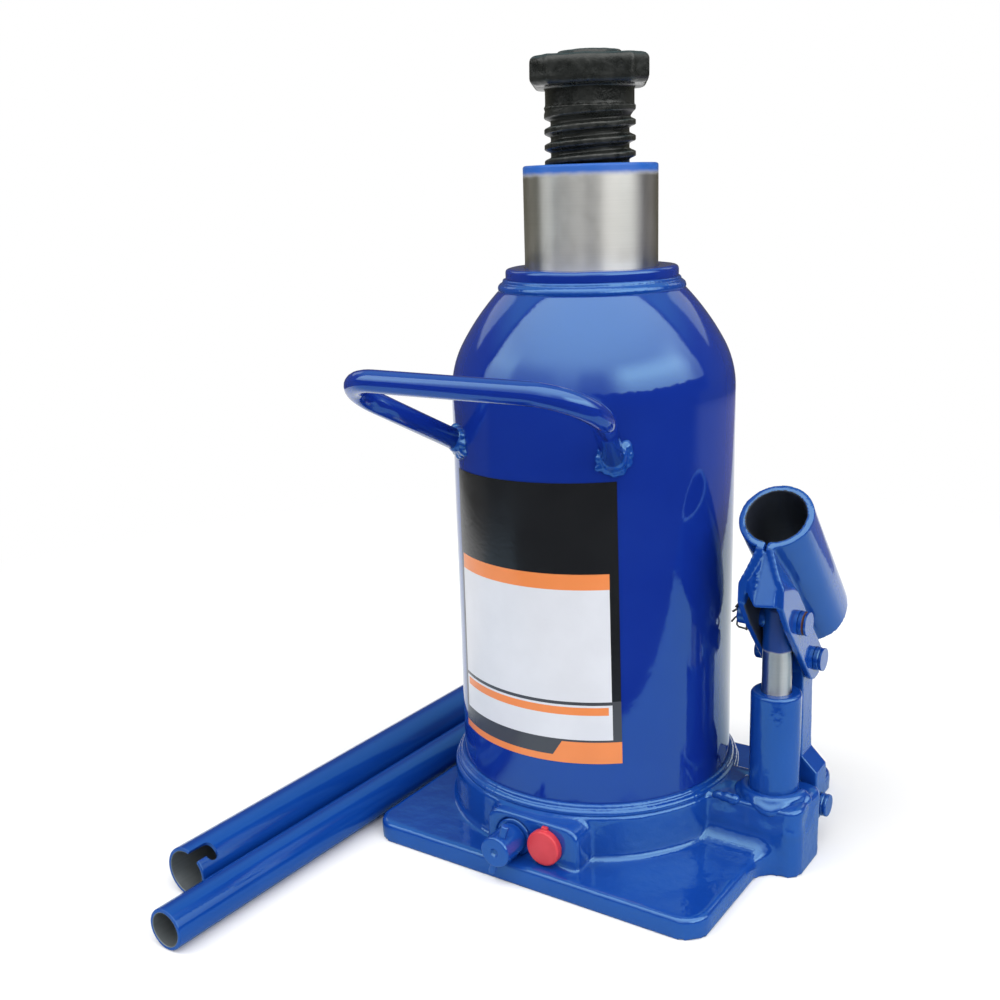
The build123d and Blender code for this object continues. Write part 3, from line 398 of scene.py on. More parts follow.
edge_wear, given, result = effect_group(
    "edge_wear",
    {"Sharpness": 0.06, "Flecks per metre": 500.0},
    {"Mask": "NodeSocketFloat"})
ridge = add_node(edge_wear, "ShaderNodeNewGeometry").outputs["Pointiness"]
above = math_node(edge_wear, "SUBTRACT", ridge, 0.5)
edge = add_node(edge_wear, "ShaderNodeMapRange",
                {"Value": above, "From Min": 0.0, "From Max": given["Sharpness"]})
flecks = group_noise(edge_wear, given["Flecks per metre"], 4.0)
feed(edge_wear, result["Mask"],
     both(edge_wear, edge.outputs[0], ramp_between(edge_wear, flecks, 0.35, 0.7)))
print("effects:", ground_rings.name, "and", edge_wear.name)


# %% Using the effects
def use_group(tree, group, **values):
    """A group node with its inputs set; underscores in a name stand for blanks."""
    node = add_node(tree, "ShaderNodeGroup", node_tree=group)
    for key, value in values.items():
        feed(tree, node.inputs[key.replace("_", " ")], value)
    return node.outputs


def finish(name, **values):
    """A material with a Principled shader; plain values go straight to its sockets."""
    material = bpy.data.materials.new(name)
    material.use_nodes = True
    tree = material.node_tree
    tree.nodes.clear()
    inputs = {key.replace("_", " "): value for key, value in values.items()}
    shader = add_node(tree, "ShaderNodeBsdfPrincipled", inputs)
    add_node(tree, "ShaderNodeOutputMaterial", {"Surface": shader.outputs[0]})
    return material, tree, shader


def bump(tree, shader, height, distance):
    """Lets a height bend the shader's normal; distance is in metres."""
    inputs = {"Height": height, "Distance": distance, "Strength": 1.0}
    node = add_node(tree, "ShaderNodeBump", inputs)
    feed(tree, shader.inputs["Normal"], node.outputs[0])


def peel(tree, shader, pores, waves, lumps):
    """Gives the shader an orange peel; the lumps are its height in metres."""
    skin = use_group(tree, orange_peel, Pores_per_metre=pores, Waves_per_metre=waves)
    bump(tree, shader, skin["Height"], lumps)


def vary_roughness(tree, shader, patches, low, high):
    """Lets patches change the shader's roughness between two values."""
    feed(tree, shader.inputs["Roughness"], ramp_between(tree, patches, 0.0, 1.0, low, high))


print("finish helpers ready")

# %% [markdown]
# ## Finishes
# The jack is sprayed as a whole in royal-blue enamel. Smooth sheet keeps a clear mirror with a
# light orange peel; cast and welded pieces get a lumpier coat, and the handle tubes a thinner one.
# Each coat could be built on its own; one function makes them all, so that they stay one paint.

# %% Blue enamel
sheet_blue = ((0.0045, 0.021, 0.220, 1), (0.007, 0.031, 0.270, 1))
cast_blue = ((0.004, 0.039, 0.250, 1), (0.007, 0.056, 0.315, 1))
tube_blue = ((0.003, 0.038, 0.240, 1), (0.005, 0.054, 0.300, 1))
overspray = (0.012, 0.100, 0.420, 1)
# The next blue is for the plunger's painted end. It is darker than the ram's overspray as painted
# shade under the lever.
painted_shade_blue = (0.003, 0.034, 0.190, 1)
gloss_tint = (0.48, 0.89, 1.0, 1)


def enamel(name, blues, pores, waves, lumps, contrast, gloss=1.9):
    """Gloss enamel between two blues: the lumps are the bump's height in metres."""
    material, tree, shader = finish(name, Roughness=0.08, IOR=gloss, Specular_Tint=gloss_tint)
    tone = use_group(tree, paint_depth, Colour=blues[0], Thin_colour=blues[1], Contrast=contrast)
    feed(tree, shader.inputs["Base Color"], tone["Colour"])
    vary_roughness(tree, shader, tone["Patches"], 0.06, 0.10)
    peel(tree, shader, pores, waves, lumps)
    return material


sheet_enamel = enamel("sheet_enamel", sheet_blue,
                      pores=260.0, waves=50.0, lumps=0.00003, contrast=0.35)
cast_enamel = enamel("cast_enamel", cast_blue,
                     pores=360.0, waves=90.0, lumps=0.00012, contrast=0.5)
forged_enamel = enamel("forged_enamel", cast_blue,
                       pores=420.0, waves=90.0, lumps=0.00003, contrast=0.45)
weld_enamel = enamel("weld_enamel", cast_blue,
                     pores=500.0, waves=160.0, lumps=0.00008, contrast=0.45)
tube_enamel = enamel("tube_enamel", tube_blue,
                     pores=480.0, waves=45.0, lumps=0.00004, contrast=0.3, gloss=1.65)
print("blue enamel in five coats")


# %% [markdown]
# Bare steel shows on the ground ram and the pump's plunger, where paint has reached one end, in
# the handle tubes' bores, and on the loose parts inside the jack. Grinding leaves rings, so the
# ram and the plunger stretch their highlights round the axis. Other turned and drawn metal differs
# only in a few numbers, so one function makes it.

# %% Steel
def ground_steel(name, blue_from, blue_to, paint, steel_low, steel_high):
    """Round steel ground in rings; paint begins between two heights in metres."""
    material, tree, shader = finish(name, Metallic=1.0, Roughness=0.36, Anisotropic=0.95,
                                    Anisotropic_Rotation=0.25)
    tangent = add_node(tree, "ShaderNodeTangent", axis="Z").outputs[0]
    feed(tree, shader.inputs["Tangent"], tangent)
    rings = use_group(tree, ground_rings)
    steel = mix_colours(tree, rings["Tone"], steel_low, steel_high)
    place = add_node(tree, "ShaderNodeTexCoord").outputs["Object"]
    high = add_node(tree, "ShaderNodeSeparateXYZ", {0: place}).outputs["Z"]
    cloud = noise_node(tree, place, 260.0, 3.0)
    edge_wander = 0.0008
    middle = math_node(tree, "SUBTRACT", high, edge_wander / 2)
    edge = math_node(tree, "MULTIPLY_ADD", cloud, edge_wander, middle)
    painted = ramp_between(tree, edge, blue_from, blue_to)
    feed(tree, shader.inputs["Base Color"], mix_colours(tree, painted, steel, paint))
    feed(tree, shader.inputs["Metallic"], math_node(tree, "SUBTRACT", 1.0, painted))
    feed(tree, shader.inputs["Roughness"], ramp_between(tree, cloud, 0.3, 0.7, 0.34, 0.38))
    bump(tree, shader, rings["Height"], 0.000008)
    return material


def machined(name, low, high, roughness, metallic=1.0):
    """Turned or drawn metal with fine streaks between two colours."""
    material, tree, shader = finish(name, Metallic=metallic, Roughness=roughness)
    rings = use_group(tree, ground_rings, Rings_per_metre=1400.0)
    feed(tree, shader.inputs["Base Color"], mix_colours(tree, rings["Tone"], low, high))
    bump(tree, shader, rings["Height"], 0.00003)
    return material


ram_steel = ground_steel("ram_steel", 0.2540, 0.2566, overspray,
                         (0.60, 0.59, 0.55, 1), (0.74, 0.73, 0.69, 1))
# The plunger's paint takes the darker blue, which is painted shade under the lever.
plunger_steel = ground_steel("plunger_steel", 0.0838, 0.0848, painted_shade_blue,
                             (0.55, 0.54, 0.51, 1), (0.70, 0.69, 0.66, 1))
inner_steel = machined("inner_steel", (0.30, 0.31, 0.32, 1), (0.55, 0.56, 0.57, 1), roughness=0.35)
tube_bore = machined("tube_bore", (0.10, 0.12, 0.13, 1), (0.20, 0.22, 0.23, 1),
                     roughness=0.45, metallic=0.6)
copper = machined("copper", (0.45, 0.22, 0.12, 1), (0.70, 0.40, 0.25, 1), roughness=0.35)
# Near black, for the inside of the lever's bore and the inner faces of its cheeks: painted shade
# where little light reaches.
painted_lever_shade = machined("painted_lever_shade", (0.010, 0.013, 0.022, 1), (0.026, 0.032, 0.048, 1),
                       roughness=0.5, metallic=0.3)
rust = machined("rust", (0.030, 0.010, 0.008, 1), (0.085, 0.030, 0.020, 1),
                roughness=0.7, metallic=0.2)
dark_wire = machined("dark_wire", (0.015, 0.017, 0.022, 1), (0.06, 0.065, 0.075, 1),
                     roughness=0.4, metallic=0.8)
print("steel, copper, rust and wire")

# %% [markdown]
# The extension screw is black-oxide steel: nearly black, slightly oily, rubbed to bare metal on
# its crests. The rubbed places could be painted by hand; the mesh's pointiness finds them by
# itself. The safety valve's cap is red moulded plastic, and the seals are black rubber.

# %% Black oxide
black_oxide, tree, shader = finish("black_oxide", Metallic=0.35, Roughness=0.36)
stain = use_group(tree, paint_depth, Colour=(0.014, 0.016, 0.015, 1),
                  Thin_colour=(0.034, 0.037, 0.034, 1), Patches_per_metre=110.0, Contrast=0.6)
rubbed = use_group(tree, edge_wear, Sharpness=0.12, Flecks_per_metre=420.0)
rubbed_metal = (0.13, 0.13, 0.12, 1)
feed(tree, shader.inputs["Base Color"],
     mix_colours(tree, rubbed["Mask"], stain["Colour"], rubbed_metal))
vary_roughness(tree, shader, stain["Patches"], 0.22, 0.40)
peel(tree, shader, pores=900.0, waves=260.0, lumps=0.00010)
print("black oxide")


# %% Plastic and rubber
def moulded(name, low, high, patches, contrast, pores, waves, lumps, **values):
    """Moulded plastic or rubber between two colours."""
    material, tree, shader = finish(name, **values)
    tint = use_group(tree, paint_depth, Colour=low, Thin_colour=high,
                     Patches_per_metre=patches, Contrast=contrast)
    feed(tree, shader.inputs["Base Color"], tint["Colour"])
    peel(tree, shader, pores, waves, lumps)
    return material


red_plastic = moulded("red_plastic", (0.50, 0.028, 0.040, 1), (0.60, 0.050, 0.065, 1),
                      patches=120.0, contrast=0.6, pores=1600.0, waves=140.0, lumps=0.00006,
                      Roughness=0.38, IOR=1.46)
rubber = moulded("rubber", (0.010, 0.010, 0.010, 1), (0.035, 0.035, 0.036, 1),
                 patches=200.0, contrast=0.7, pores=1800.0, waves=300.0, lumps=0.00005,
                 Roughness=0.6)
print("red plastic and rubber")


# %% [markdown]
# ## Base casting
# The base is a sand casting: flat foot, ring, pump boss and valve pad run into each other with
# soft coves, and the skin is never quite flat. It could be modelled by hand, but its solid already
# has the right shape, so a copy is melted to an even skin, smoothed, and given low lumps in two
# sizes, with higher ones round the pump boss.

# %% Objects and their faces
def shade_smooth(mesh):
    """Makes every face shade smoothly."""
    mesh.polygons.foreach_set("use_smooth", [True] * len(mesh.polygons))


def new_object(name, mesh, material):
    """An object in the scene with one material and smooth faces."""
    mesh.materials.clear()
    mesh.materials.append(material)
    shade_smooth(mesh)
    return add_to_scene(name, mesh)


def written(edit, mesh):
    """Writes an edit to a mesh and ends the edit."""
    edit.to_mesh(mesh)
    edit.free()
    return mesh


def face_outwards(mesh):
    """Merges doubles and turns every face of a closed shape outwards."""
    edit = bmesh.new()
    edit.from_mesh(mesh)
    bmesh.ops.remove_doubles(edit, verts=edit.verts, dist=1e-7)
    bmesh.ops.recalc_face_normals(edit, faces=edit.faces)
    return written(edit, mesh)


def evaluated_mesh(item):
    """A new mesh of what an object shows."""
    graph = bpy.context.evaluated_depsgraph_get()
    return bpy.data.meshes.new_from_object(item.evaluated_get(graph))


def evaluated(item):
    """Applies an object's modifiers and removes them."""
    mesh = evaluated_mesh(item)
    item.modifiers.clear()
    item.data = mesh
    return item


def place(item, body, slot, *replaced):
    """Hands a finished piece to its body."""
    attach(item, body)
    if replaced:
        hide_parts(*replaced)
    print(item.name, "faces:", len(item.data.polygons), "on", body)


print("helpers for objects ready")


# %% Soft skins
def remeshed(item, voxel, smoothing, crisp_below=None):
    """Melts an object's mesh to one even skin with soft edges, except below a height."""
    item.modifiers.new("skin", "REMESH").voxel_size = voxel * MM
    evaluated(item)
    soft = item.modifiers.new("soft", "SMOOTH")
    soft.factor = 0.5
    soft.iterations = smoothing
    if crisp_below is not None:
        above = item.vertex_groups.new(name="above")
        high = [v.index for v in item.data.vertices if v.co.z > crisp_below * MM]
        above.add(high, 1.0, "REPLACE")
        soft.vertex_group = "above"
    evaluated(item)
    item.vertex_groups.clear()
    shade_smooth(item.data)
    return item


def cast_copy(node, name, material, voxel, smoothing, crisp_below=None):
    """A copy of a solid with the soft edges of a casting or forging."""
    mesh = face_outwards(solids[node].data.copy())
    return remeshed(new_object(name, mesh, material), voxel, smoothing, crisp_below)


print("helpers for soft skins ready")


# %% Lumps
def lumpy(item, height, size, seed, low=None, within=None):
    """Moves vertices along their normals by smooth noise; sizes in millimetres.

    Below low nothing moves. Within, the lowest and highest corner of a region, makes the lumps fade
    out towards its sides."""
    fade = 4.0
    shift = Vector((seed * 7.3, seed * 3.1, seed * 5.7))
    spots = [vert.co.copy() for vert in item.data.vertices]
    outward = [vert.normal.copy() for vert in item.data.vertices]
    moved = []
    for spot, normal in zip(spots, outward):
        if low is None or spot.z > low * MM:
            share = 1.0
            for value, least, most in zip(spot, *within) if within else ():
                depth = min(value / MM - least, most - value / MM)
                share *= min(max(depth / fade, 0.0), 1.0)
            lump = noise.noise(spot / (size * MM) + shift)
            spot += normal * (lump * height * share * MM)
        moved.extend(spot)
    item.data.vertices.foreach_set("co", moved)
    item.data.update()


def keep_within(item, node):
    """Brings vertices that stick out of a solid's box back to its faces."""
    low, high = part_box(node)
    spots = np.empty(len(item.data.vertices) * 3)
    item.data.vertices.foreach_get("co", spots)
    spots = np.clip(spots.reshape(-1, 3), np.array(low), np.array(high))
    item.data.vertices.foreach_set("co", spots.ravel())
    item.data.update()


print("helpers for lumps ready")

# %% Base casting
boss_region = ((55.0, -24.0, 15.0), (110.0, 9.0, 40.0))
base = cast_copy("base_casting", "cast_base", cast_enamel, voxel=0.82, smoothing=4, crisp_below=1.2)
lumpy(base, height=0.30, size=26.0, seed=1, low=3.0)
lumpy(base, height=0.10, size=6.0, seed=2, low=3.0)
lumpy(base, height=1.5, size=9.0, seed=14, within=boss_region)
keep_within(base, "base_casting")
place(base, "jack_body", "blue_paint", "base_casting")


# %% [markdown]
# ## Turned work
# Most of the jack is turned work. A Screw modifier could turn an outline, but a helper that writes
# the mesh also closes its poles and takes any axis. Another helper rounds the outline's corners
# first, because a real edge is never sharp and the round is what catches the light. Outlines are
# in millimetres.

# %% Outlines
def soften(points, radii, steps=5, closed=False):
    """Rounds an outline's corners, each by its own radius."""
    count = len(points)
    outline = []
    for index, (point, wish) in enumerate(zip(points, radii)):
        at_end = not closed and index in (0, count - 1)
        if wish <= 0 or at_end:
            outline.append(tuple(point))
            continue
        corner = Vector(point)
        back = Vector(points[index - 1]) - corner
        on = Vector(points[(index + 1) % count]) - corner
        half = back.angle(on) / 2
        trim = min(wish / math.tan(half), 0.45 * back.length, 0.45 * on.length)
        back.normalize()
        on.normalize()
        arc_r = trim * math.tan(half)
        centre = corner + (back + on).normalized() * (arc_r / math.sin(half))
        start = corner + back * trim - centre
        end = corner + on * trim - centre
        sweep = start.angle(end)
        outline.append(tuple(corner + back * trim * 1.1))
        for step in range(steps + 1):
            share = step / steps
            arm = start * math.sin((1 - share) * sweep) + end * math.sin(share * sweep)
            outline.append(tuple(centre + arm / math.sin(sweep)))
        outline.append(tuple(corner + on * trim * 1.1))
    return outline


def divide(points, step):
    """Adds points to an outline's long runs, so that they can bend."""
    outline = []
    for first, second in zip(points, points[1:]):
        run = Vector(second) - Vector(first)
        pieces = max(1, round(run.length / step))
        outline += [tuple(Vector(first) + run * (k / pieces)) for k in range(pieces)]
    return outline + [tuple(points[-1])]


def arc(centre, radius, start, end, steps):
    """Points on an arc, by angle in degrees."""
    turns = np.radians(np.linspace(start, end, steps + 1))
    return [(centre[0] + radius * math.cos(t), centre[1] + radius * math.sin(t)) for t in turns]


print("helpers for outlines ready")


# %% Lathe
def solid_mesh(name, verts, faces):
    """A closed mesh with its faces outwards."""
    mesh = bpy.data.meshes.new(name)
    mesh.from_pydata(verts, [], faces)
    return face_outwards(mesh)


def lathe(name, outline, material, origin=(0, 0, 0), axis=(0, 0, 1), closed=False, turns=160):
    """Turns an outline of (radius, height) points about an axis through the origin."""
    along = Vector(axis).normalized()
    side = along.orthogonal().normalized()
    other = along.cross(side)
    angles = [2 * math.pi * k / turns for k in range(turns)]
    circle = [side * math.cos(angle) + other * math.sin(angle) for angle in angles]
    verts = []
    rings = []
    for radius, height in outline:
        middle = Vector(origin) + along * height
        if radius < 1e-6:
            rings.append([len(verts)] * turns)
            verts.append(middle * MM)
            continue
        rings.append(list(range(len(verts), len(verts) + turns)))
        verts += [(middle + arm * radius) * MM for arm in circle]
    pairs = list(zip(rings, rings[1:]))
    if closed:
        pairs.append((rings[-1], rings[0]))
    faces = []
    for lower, upper in pairs:
        for k in range(turns):
            n = (k + 1) % turns
            corners = list(dict.fromkeys((lower[k], lower[n], upper[n], upper[k])))
            if len(corners) > 2:
                faces.append(corners)
    return new_object(name, solid_mesh(name, verts, faces), material)


print("lathe ready")

# %% [markdown]
# ## Oil tank, collar and ram
# The tank is a drawn shell with a domed top. Its solid could be used as it is, but gloss paint
# shows every long triangle, so it is turned again with even rows of faces. The outline has the
# same arcs as the solid, and a slight waviness is added, which is what makes the reflections on a
# real tank wander.

# %% Oil tank
tank_r, tank_wall, tank_low = 54.0, 4.0, 22.0
shoulder_centre, shoulder_r, shoulder_turn = (16.0, 176.0), 38.0, 28.8
crown_centre, crown_r, crown_turn = (-32.636, 149.263), 93.5, 44.2
tank_outline = divide([(tank_r, tank_low), (tank_r, shoulder_centre[1])], 3.0)
tank_outline += arc(shoulder_centre, shoulder_r, 0, shoulder_turn, 18)[1:]
tank_outline += arc(crown_centre, crown_r, shoulder_turn, crown_turn, 16)[1:]
tank_outline += arc(crown_centre, crown_r - tank_wall, crown_turn, shoulder_turn, 10)
tank_outline += arc(shoulder_centre, shoulder_r - tank_wall, shoulder_turn, 0, 10)[1:]
tank_outline += [(tank_r - tank_wall, tank_low)]
tank = lathe("oil_tank", tank_outline, sheet_enamel, closed=True, turns=256)
lumpy(tank, height=0.07, size=30.0, seed=3)
place(tank, "jack_body", "blue_paint", "reservoir_tank")

# %% Collar
collar_low, collar_top, collar_r, collar_bore_r = 206.0, 222.0, 32.3, 25.0
spigot_low, spigot_r = 196.0, 27.4
collar_outline = [
    (collar_bore_r, spigot_low), (spigot_r, spigot_low), (spigot_r, collar_low),
    (collar_r, collar_low), (collar_r, collar_top), (collar_bore_r, collar_top),
]
collar_outline = soften(collar_outline, [0.2, 0.2, 0.2, 0.5, 1.5, 0.8], closed=True)
collar = lathe("top_collar_ring", collar_outline, sheet_enamel, closed=True, turns=192)
lumpy(collar, height=0.25, size=14.0, seed=4)
place(collar, "jack_body", "blue_paint", "top_collar")

# %% [markdown]
# The ram is ground and polished; a little overspray has settled on its top edge. It is turned too,
# for the sake of its rounded edges. Its outline has the threaded mouth and the wider pocket for
# the screw.

# %% Ram
ram_r, ram_low, ram_top = 24.85, 75.0, 258.7
tail_r, tail_low = 17.0, 48.5
mouth_r, mouth_low, pocket_r, pocket_low = 16.8, 225.7, 19.0, 108.7
ram_outline = [
    (0, tail_low), (tail_r, tail_low), (tail_r, ram_low), (ram_r, ram_low), (ram_r, ram_top),
    (mouth_r, ram_top), (mouth_r, mouth_low), (pocket_r, mouth_low), (pocket_r, pocket_low),
    (0, pocket_low),
]
ram_outline = soften(ram_outline, [0, 0.5, 0.2, 0.3, 0.9, 0.5, 0.3, 0.3, 0.3, 0], steps=4)
ram = lathe("ground_ram", ram_outline, ram_steel, turns=192)
place(ram, "ram_body", "ground_steel", "ram")


# %% [markdown]
# ## Welds
# A weld bead is a row of overlapping drops. It could be sculpted by hand; here a geometry-nodes
# tree sets drops along a circle, each a little different in size, and the drops are then melted
# together, so the bead comes out the same each time. Two rows side by side make the double ridge
# at the tank's foot and the creased bead under the collar. The first helpers here serve every
# tree: they make its sockets, its ending, and an object from it.

# %% Helpers for geometry nodes
socket_kinds = {float: "NodeSocketFloat", int: "NodeSocketInt", str: "NodeSocketGeometry",
                type(None): "NodeSocketMaterial"}


def shape_tree(name, **inputs):
    """An empty tree with an input for each name and default, and its input sockets.

    A default that is a word stands for geometry, None for a material; underscores for blanks."""
    tree = bpy.data.node_groups.new(name, "GeometryNodeTree")
    for key, default in inputs.items():
        socket = tree.interface.new_socket(key.replace("_", " "), in_out="INPUT",
                                           socket_type=socket_kinds[type(default)])
        if isinstance(default, (float, int)):
            socket.default_value = default
    tree.interface.new_socket("Geometry", in_out="OUTPUT", socket_type="NodeSocketGeometry")
    return tree, tree.nodes.new("NodeGroupInput").outputs


def end_tree(tree, geometry, material):
    """Makes a tree's instances real, gives them a material and puts them out."""
    real = add_node(tree, "GeometryNodeRealizeInstances", {"Geometry": geometry})
    inputs = {"Geometry": real.outputs[0], "Material": material}
    coated = add_node(tree, "GeometryNodeSetMaterial", inputs)
    feed(tree, tree.nodes.new("NodeGroupOutput").inputs[0], coated.outputs[0])


def run_tree(name, tree, mesh=None, **values):
    """An object made by a geometry-nodes tree; underscores in a name stand for blanks."""
    item = add_to_scene(name, mesh or bpy.data.meshes.new(name))
    made = item.modifiers.new(name, "NODES")
    made.node_group = tree
    sockets = [socket for socket in tree.interface.items_tree if socket.in_out == "INPUT"]
    names = {socket.name: socket.identifier for socket in sockets}
    for key, value in values.items():
        made[names[key.replace("_", " ")]] = value
    evaluated(item)
    shade_smooth(item.data)
    return item


print("helpers for geometry nodes ready")

# %% Weld tree
weld_tree, given = shape_tree("weld_row", Ring_radius=0.05, Height=0.02, Drop_radius=0.0015,
                              Drops=100, Unevenness=0.1, Seed=1, Paint=None)
row = add_node(weld_tree, "GeometryNodeCurvePrimitiveCircle",
               {"Radius": given["Ring radius"], "Resolution": 96})
points = add_node(weld_tree, "GeometryNodeCurveToPoints",
                  {"Curve": row.outputs["Curve"], "Count": given["Drops"]})
drop = add_node(weld_tree, "GeometryNodeMeshIcoSphere",
                {"Radius": given["Drop radius"], "Subdivisions": 2})
least = math_node(weld_tree, "SUBTRACT", 1.0, given["Unevenness"])
most = math_node(weld_tree, "ADD", 1.0, given["Unevenness"])
size = add_node(weld_tree, "FunctionNodeRandomValue", {2: least, 3: most, "Seed": given["Seed"]})
drops = add_node(weld_tree, "GeometryNodeInstanceOnPoints",
                 {"Points": points.outputs["Points"], "Instance": drop.outputs["Mesh"],
                  "Scale": size.outputs[1]})
lift = add_node(weld_tree, "ShaderNodeCombineXYZ", {"Z": given["Height"]})
raised = add_node(weld_tree, "GeometryNodeTransform",
                  {"Geometry": drops.outputs[0], "Translation": lift.outputs[0]})
end_tree(weld_tree, raised.outputs[0], given["Paint"])
print("weld tree nodes:", len(weld_tree.nodes))


# %% Weld rings
def joined(name, items, material):
    """One object from several."""
    edit = bmesh.new()
    for item in items:
        edit.from_mesh(item.data)
        bpy.data.objects.remove(item)
    return new_object(name, written(edit, bpy.data.meshes.new(name)), material)


def weld_rings(name, rows, voxel, smoothing):
    """Rows of drops (radius, height, drop radius in mm, number, unevenness) melted to one bead."""
    made = []
    for row, (radius, height, drop_r, number, uneven) in enumerate(rows):
        made.append(run_tree(
            f"{name}_{row}", weld_tree, Ring_radius=radius * MM, Height=height * MM,
            Drop_radius=drop_r * MM, Drops=number, Unevenness=uneven, Seed=row + 5,
            Paint=weld_enamel))
    return remeshed(joined(name, made, weld_enamel), voxel, smoothing)


foot_rows = [(55.7, 26.0, 1.65, 420, 0.03), (54.5, 28.0, 1.25, 420, 0.05)]
foot_weld = weld_rings("foot_weld", foot_rows, voxel=0.34, smoothing=3)
place(foot_weld, "jack_body", "blue_paint", "tank_weld_ring")
neck_rows = [(33.05, 214.6, 2.3, 260, 0.02), (32.6, 217.3, 0.9, 260, 0.05)]
neck_weld = weld_rings("neck_weld", neck_rows, voxel=0.32, smoothing=3)
place(neck_weld, "jack_body", "blue_paint", "neck_weld_ring")

# %% [markdown]
# ## Extension screw
# The screw's coarse thread follows a rule: at each height and angle its radius depends only on how
# far the point is along the helix. A profile wound round the axis would do too, but its ends would
# need work by hand. So a geometry-nodes tree moves a fine cylinder's points to that radius, and
# lets the groove run out at the top.

# %% Screw thread tree
thread_tree, given = shape_tree("screw_thread", Outer_radius=0.0167, Thread_depth=0.0023,
                                Pitch=0.0055, Length=0.09, Low=0.18, Run_out=0.005, Finish=None)


def thread_rule(operation, first, second):
    """One step of the thread's rule."""
    return math_node(thread_tree, operation, first, second)


bar = add_node(thread_tree, "GeometryNodeMeshCylinder",
               {"Vertices": 96, "Side Segments": 230, "Fill Segments": 1,
                "Radius": given["Outer radius"], "Depth": given["Length"]},
               fill_type="TRIANGLE_FAN")
spot = add_node(thread_tree, "GeometryNodeInputPosition").outputs[0]
parts = add_node(thread_tree, "ShaderNodeSeparateXYZ", {0: spot}).outputs
above = math_node(thread_tree, "MULTIPLY_ADD", given["Length"], 0.5, parts["Z"])
turn = thread_rule("DIVIDE", thread_rule("ARCTAN2", parts["Y"], parts["X"]), 2 * math.pi)
along = thread_rule("SUBTRACT", thread_rule("DIVIDE", above, given["Pitch"]), turn)
groove = ramp_between(thread_tree, thread_rule("PINGPONG", along, 0.5), 0.13, 0.37)
left = thread_rule("SUBTRACT", given["Length"], above)
groove = both(thread_tree, groove, ramp_between(thread_tree, left, 0.0, given["Run out"]))
depth = thread_rule("MULTIPLY", groove, given["Thread depth"])
keep = thread_rule("SUBTRACT", 1.0, thread_rule("DIVIDE", depth, given["Outer radius"]))
moved = add_node(thread_tree, "ShaderNodeCombineXYZ",
                 {"X": thread_rule("MULTIPLY", parts["X"], keep),
                  "Y": thread_rule("MULTIPLY", parts["Y"], keep),
                  "Z": thread_rule("ADD", above, given["Low"])}).outputs[0]
cut = add_node(thread_tree, "GeometryNodeSetPosition",
               {"Geometry": bar.outputs["Mesh"], "Position": moved})
end_tree(thread_tree, cut.outputs[0], given["Finish"])
print("thread tree nodes:", len(thread_tree.nodes))

# %% Screw thread
thread_r, thread_low, thread_high = 16.65, 184.7, 278.9
thread = run_tree("screw_thread", thread_tree, Outer_radius=thread_r * MM,
                  Length=(thread_high - thread_low) * MM, Low=thread_low * MM, Finish=black_oxide)
place(thread, "screw", "black_oxide", "extension_screw")

# %% [markdown]
# The saddle is a forged block with a rough face. It could be built anew; the top of the screw's
# solid already has its shape, so a copy is cut off there, melted so that its edges go soft, and
# then dented.

# %% Saddle
saddle_low, saddle_face_low = 278.6, 286.0
saddle_mesh = face_outwards(solids["extension_screw"].data.copy())
edit = bmesh.new()
edit.from_mesh(saddle_mesh)
everything = list(edit.verts) + list(edit.edges) + list(edit.faces)
split = bmesh.ops.bisect_plane(edit, geom=everything, plane_co=(0, 0, saddle_low * MM),
                               plane_no=(0, 0, 1), clear_inner=True)
rim = [item for item in split["geom_cut"] if isinstance(item, bmesh.types.BMEdge)]
bmesh.ops.contextual_create(edit, geom=rim)
saddle = new_object("saddle", written(edit, saddle_mesh), black_oxide)
remeshed(saddle, voxel=0.5, smoothing=3)
lumpy(saddle, height=0.30, size=9.0, seed=6, low=saddle_face_low)
lumpy(saddle, height=0.14, size=2.6, seed=7, low=saddle_face_low)
keep_within(saddle, "extension_screw")
place(saddle, "screw", "black_oxide")

# %% [markdown]
# ## Pump
# The pump stands on the base's boss: a turned barrel, a ground plunger, and a lever and a link
# that work it. The barrel is a turned outline about the pump's own axis. The plunger has a hole
# across its head, so it is not turned: it is a copy of its solid with soft edges.

# %% Pump barrel and plunger
pump_x = 77.0
barrel_bore_r, barrel_r, barrel_foot, barrel_top = 5.55, 9.4, 27.0, 67.8
seat_r, seat_low = 8.0, 13.2
seal_r, seal_low, seal_high = 7.2, 58.8, 61.8
barrel_outline = [
    (barrel_bore_r, seat_low), (seat_r, seat_low), (seat_r, barrel_foot), (barrel_r, barrel_foot),
    (barrel_r, barrel_top), (barrel_bore_r, barrel_top), (barrel_bore_r, seal_high),
    (seal_r, seal_high), (seal_r, seal_low), (barrel_bore_r, seal_low),
]
barrel_rounds = [0.2, 0.4, 0.2, 0.2, 1.4, 0.4, 0.1, 0.1, 0.1, 0.1]
barrel = lathe("pump_barrel", soften(barrel_outline, barrel_rounds, closed=True), cast_enamel,
               origin=(pump_x, 0, 0), closed=True, turns=128)
place(barrel, "jack_body", "blue_paint", "pump_cylinder")

plunger = cast_copy("pump_plunger", "plunger_rod", plunger_steel, voxel=0.3, smoothing=3)
place(plunger, "plunger", "ground_steel", "pump_plunger")


# %% [markdown]
# Where the barrel stands on the boss, the casting has run over its front edge in a soft wavy heap.
# Such a shape is usually sculpted; a list of drops along the barrel's foot and the boss's edge,
# melted together, can be changed by a few numbers.

# %% Heap at the barrel's foot
def drop_balls(name, drops, material, detail):
    """Separate balls, each with its place in metres and its radius in millimetres."""
    edit = bmesh.new()
    for spot, radius in drops:
        bmesh.ops.create_icosphere(edit, subdivisions=detail, radius=radius * MM,
                                   matrix=Matrix.Translation(spot))
    return new_object(name, written(edit, bpy.data.meshes.new(name)), material)


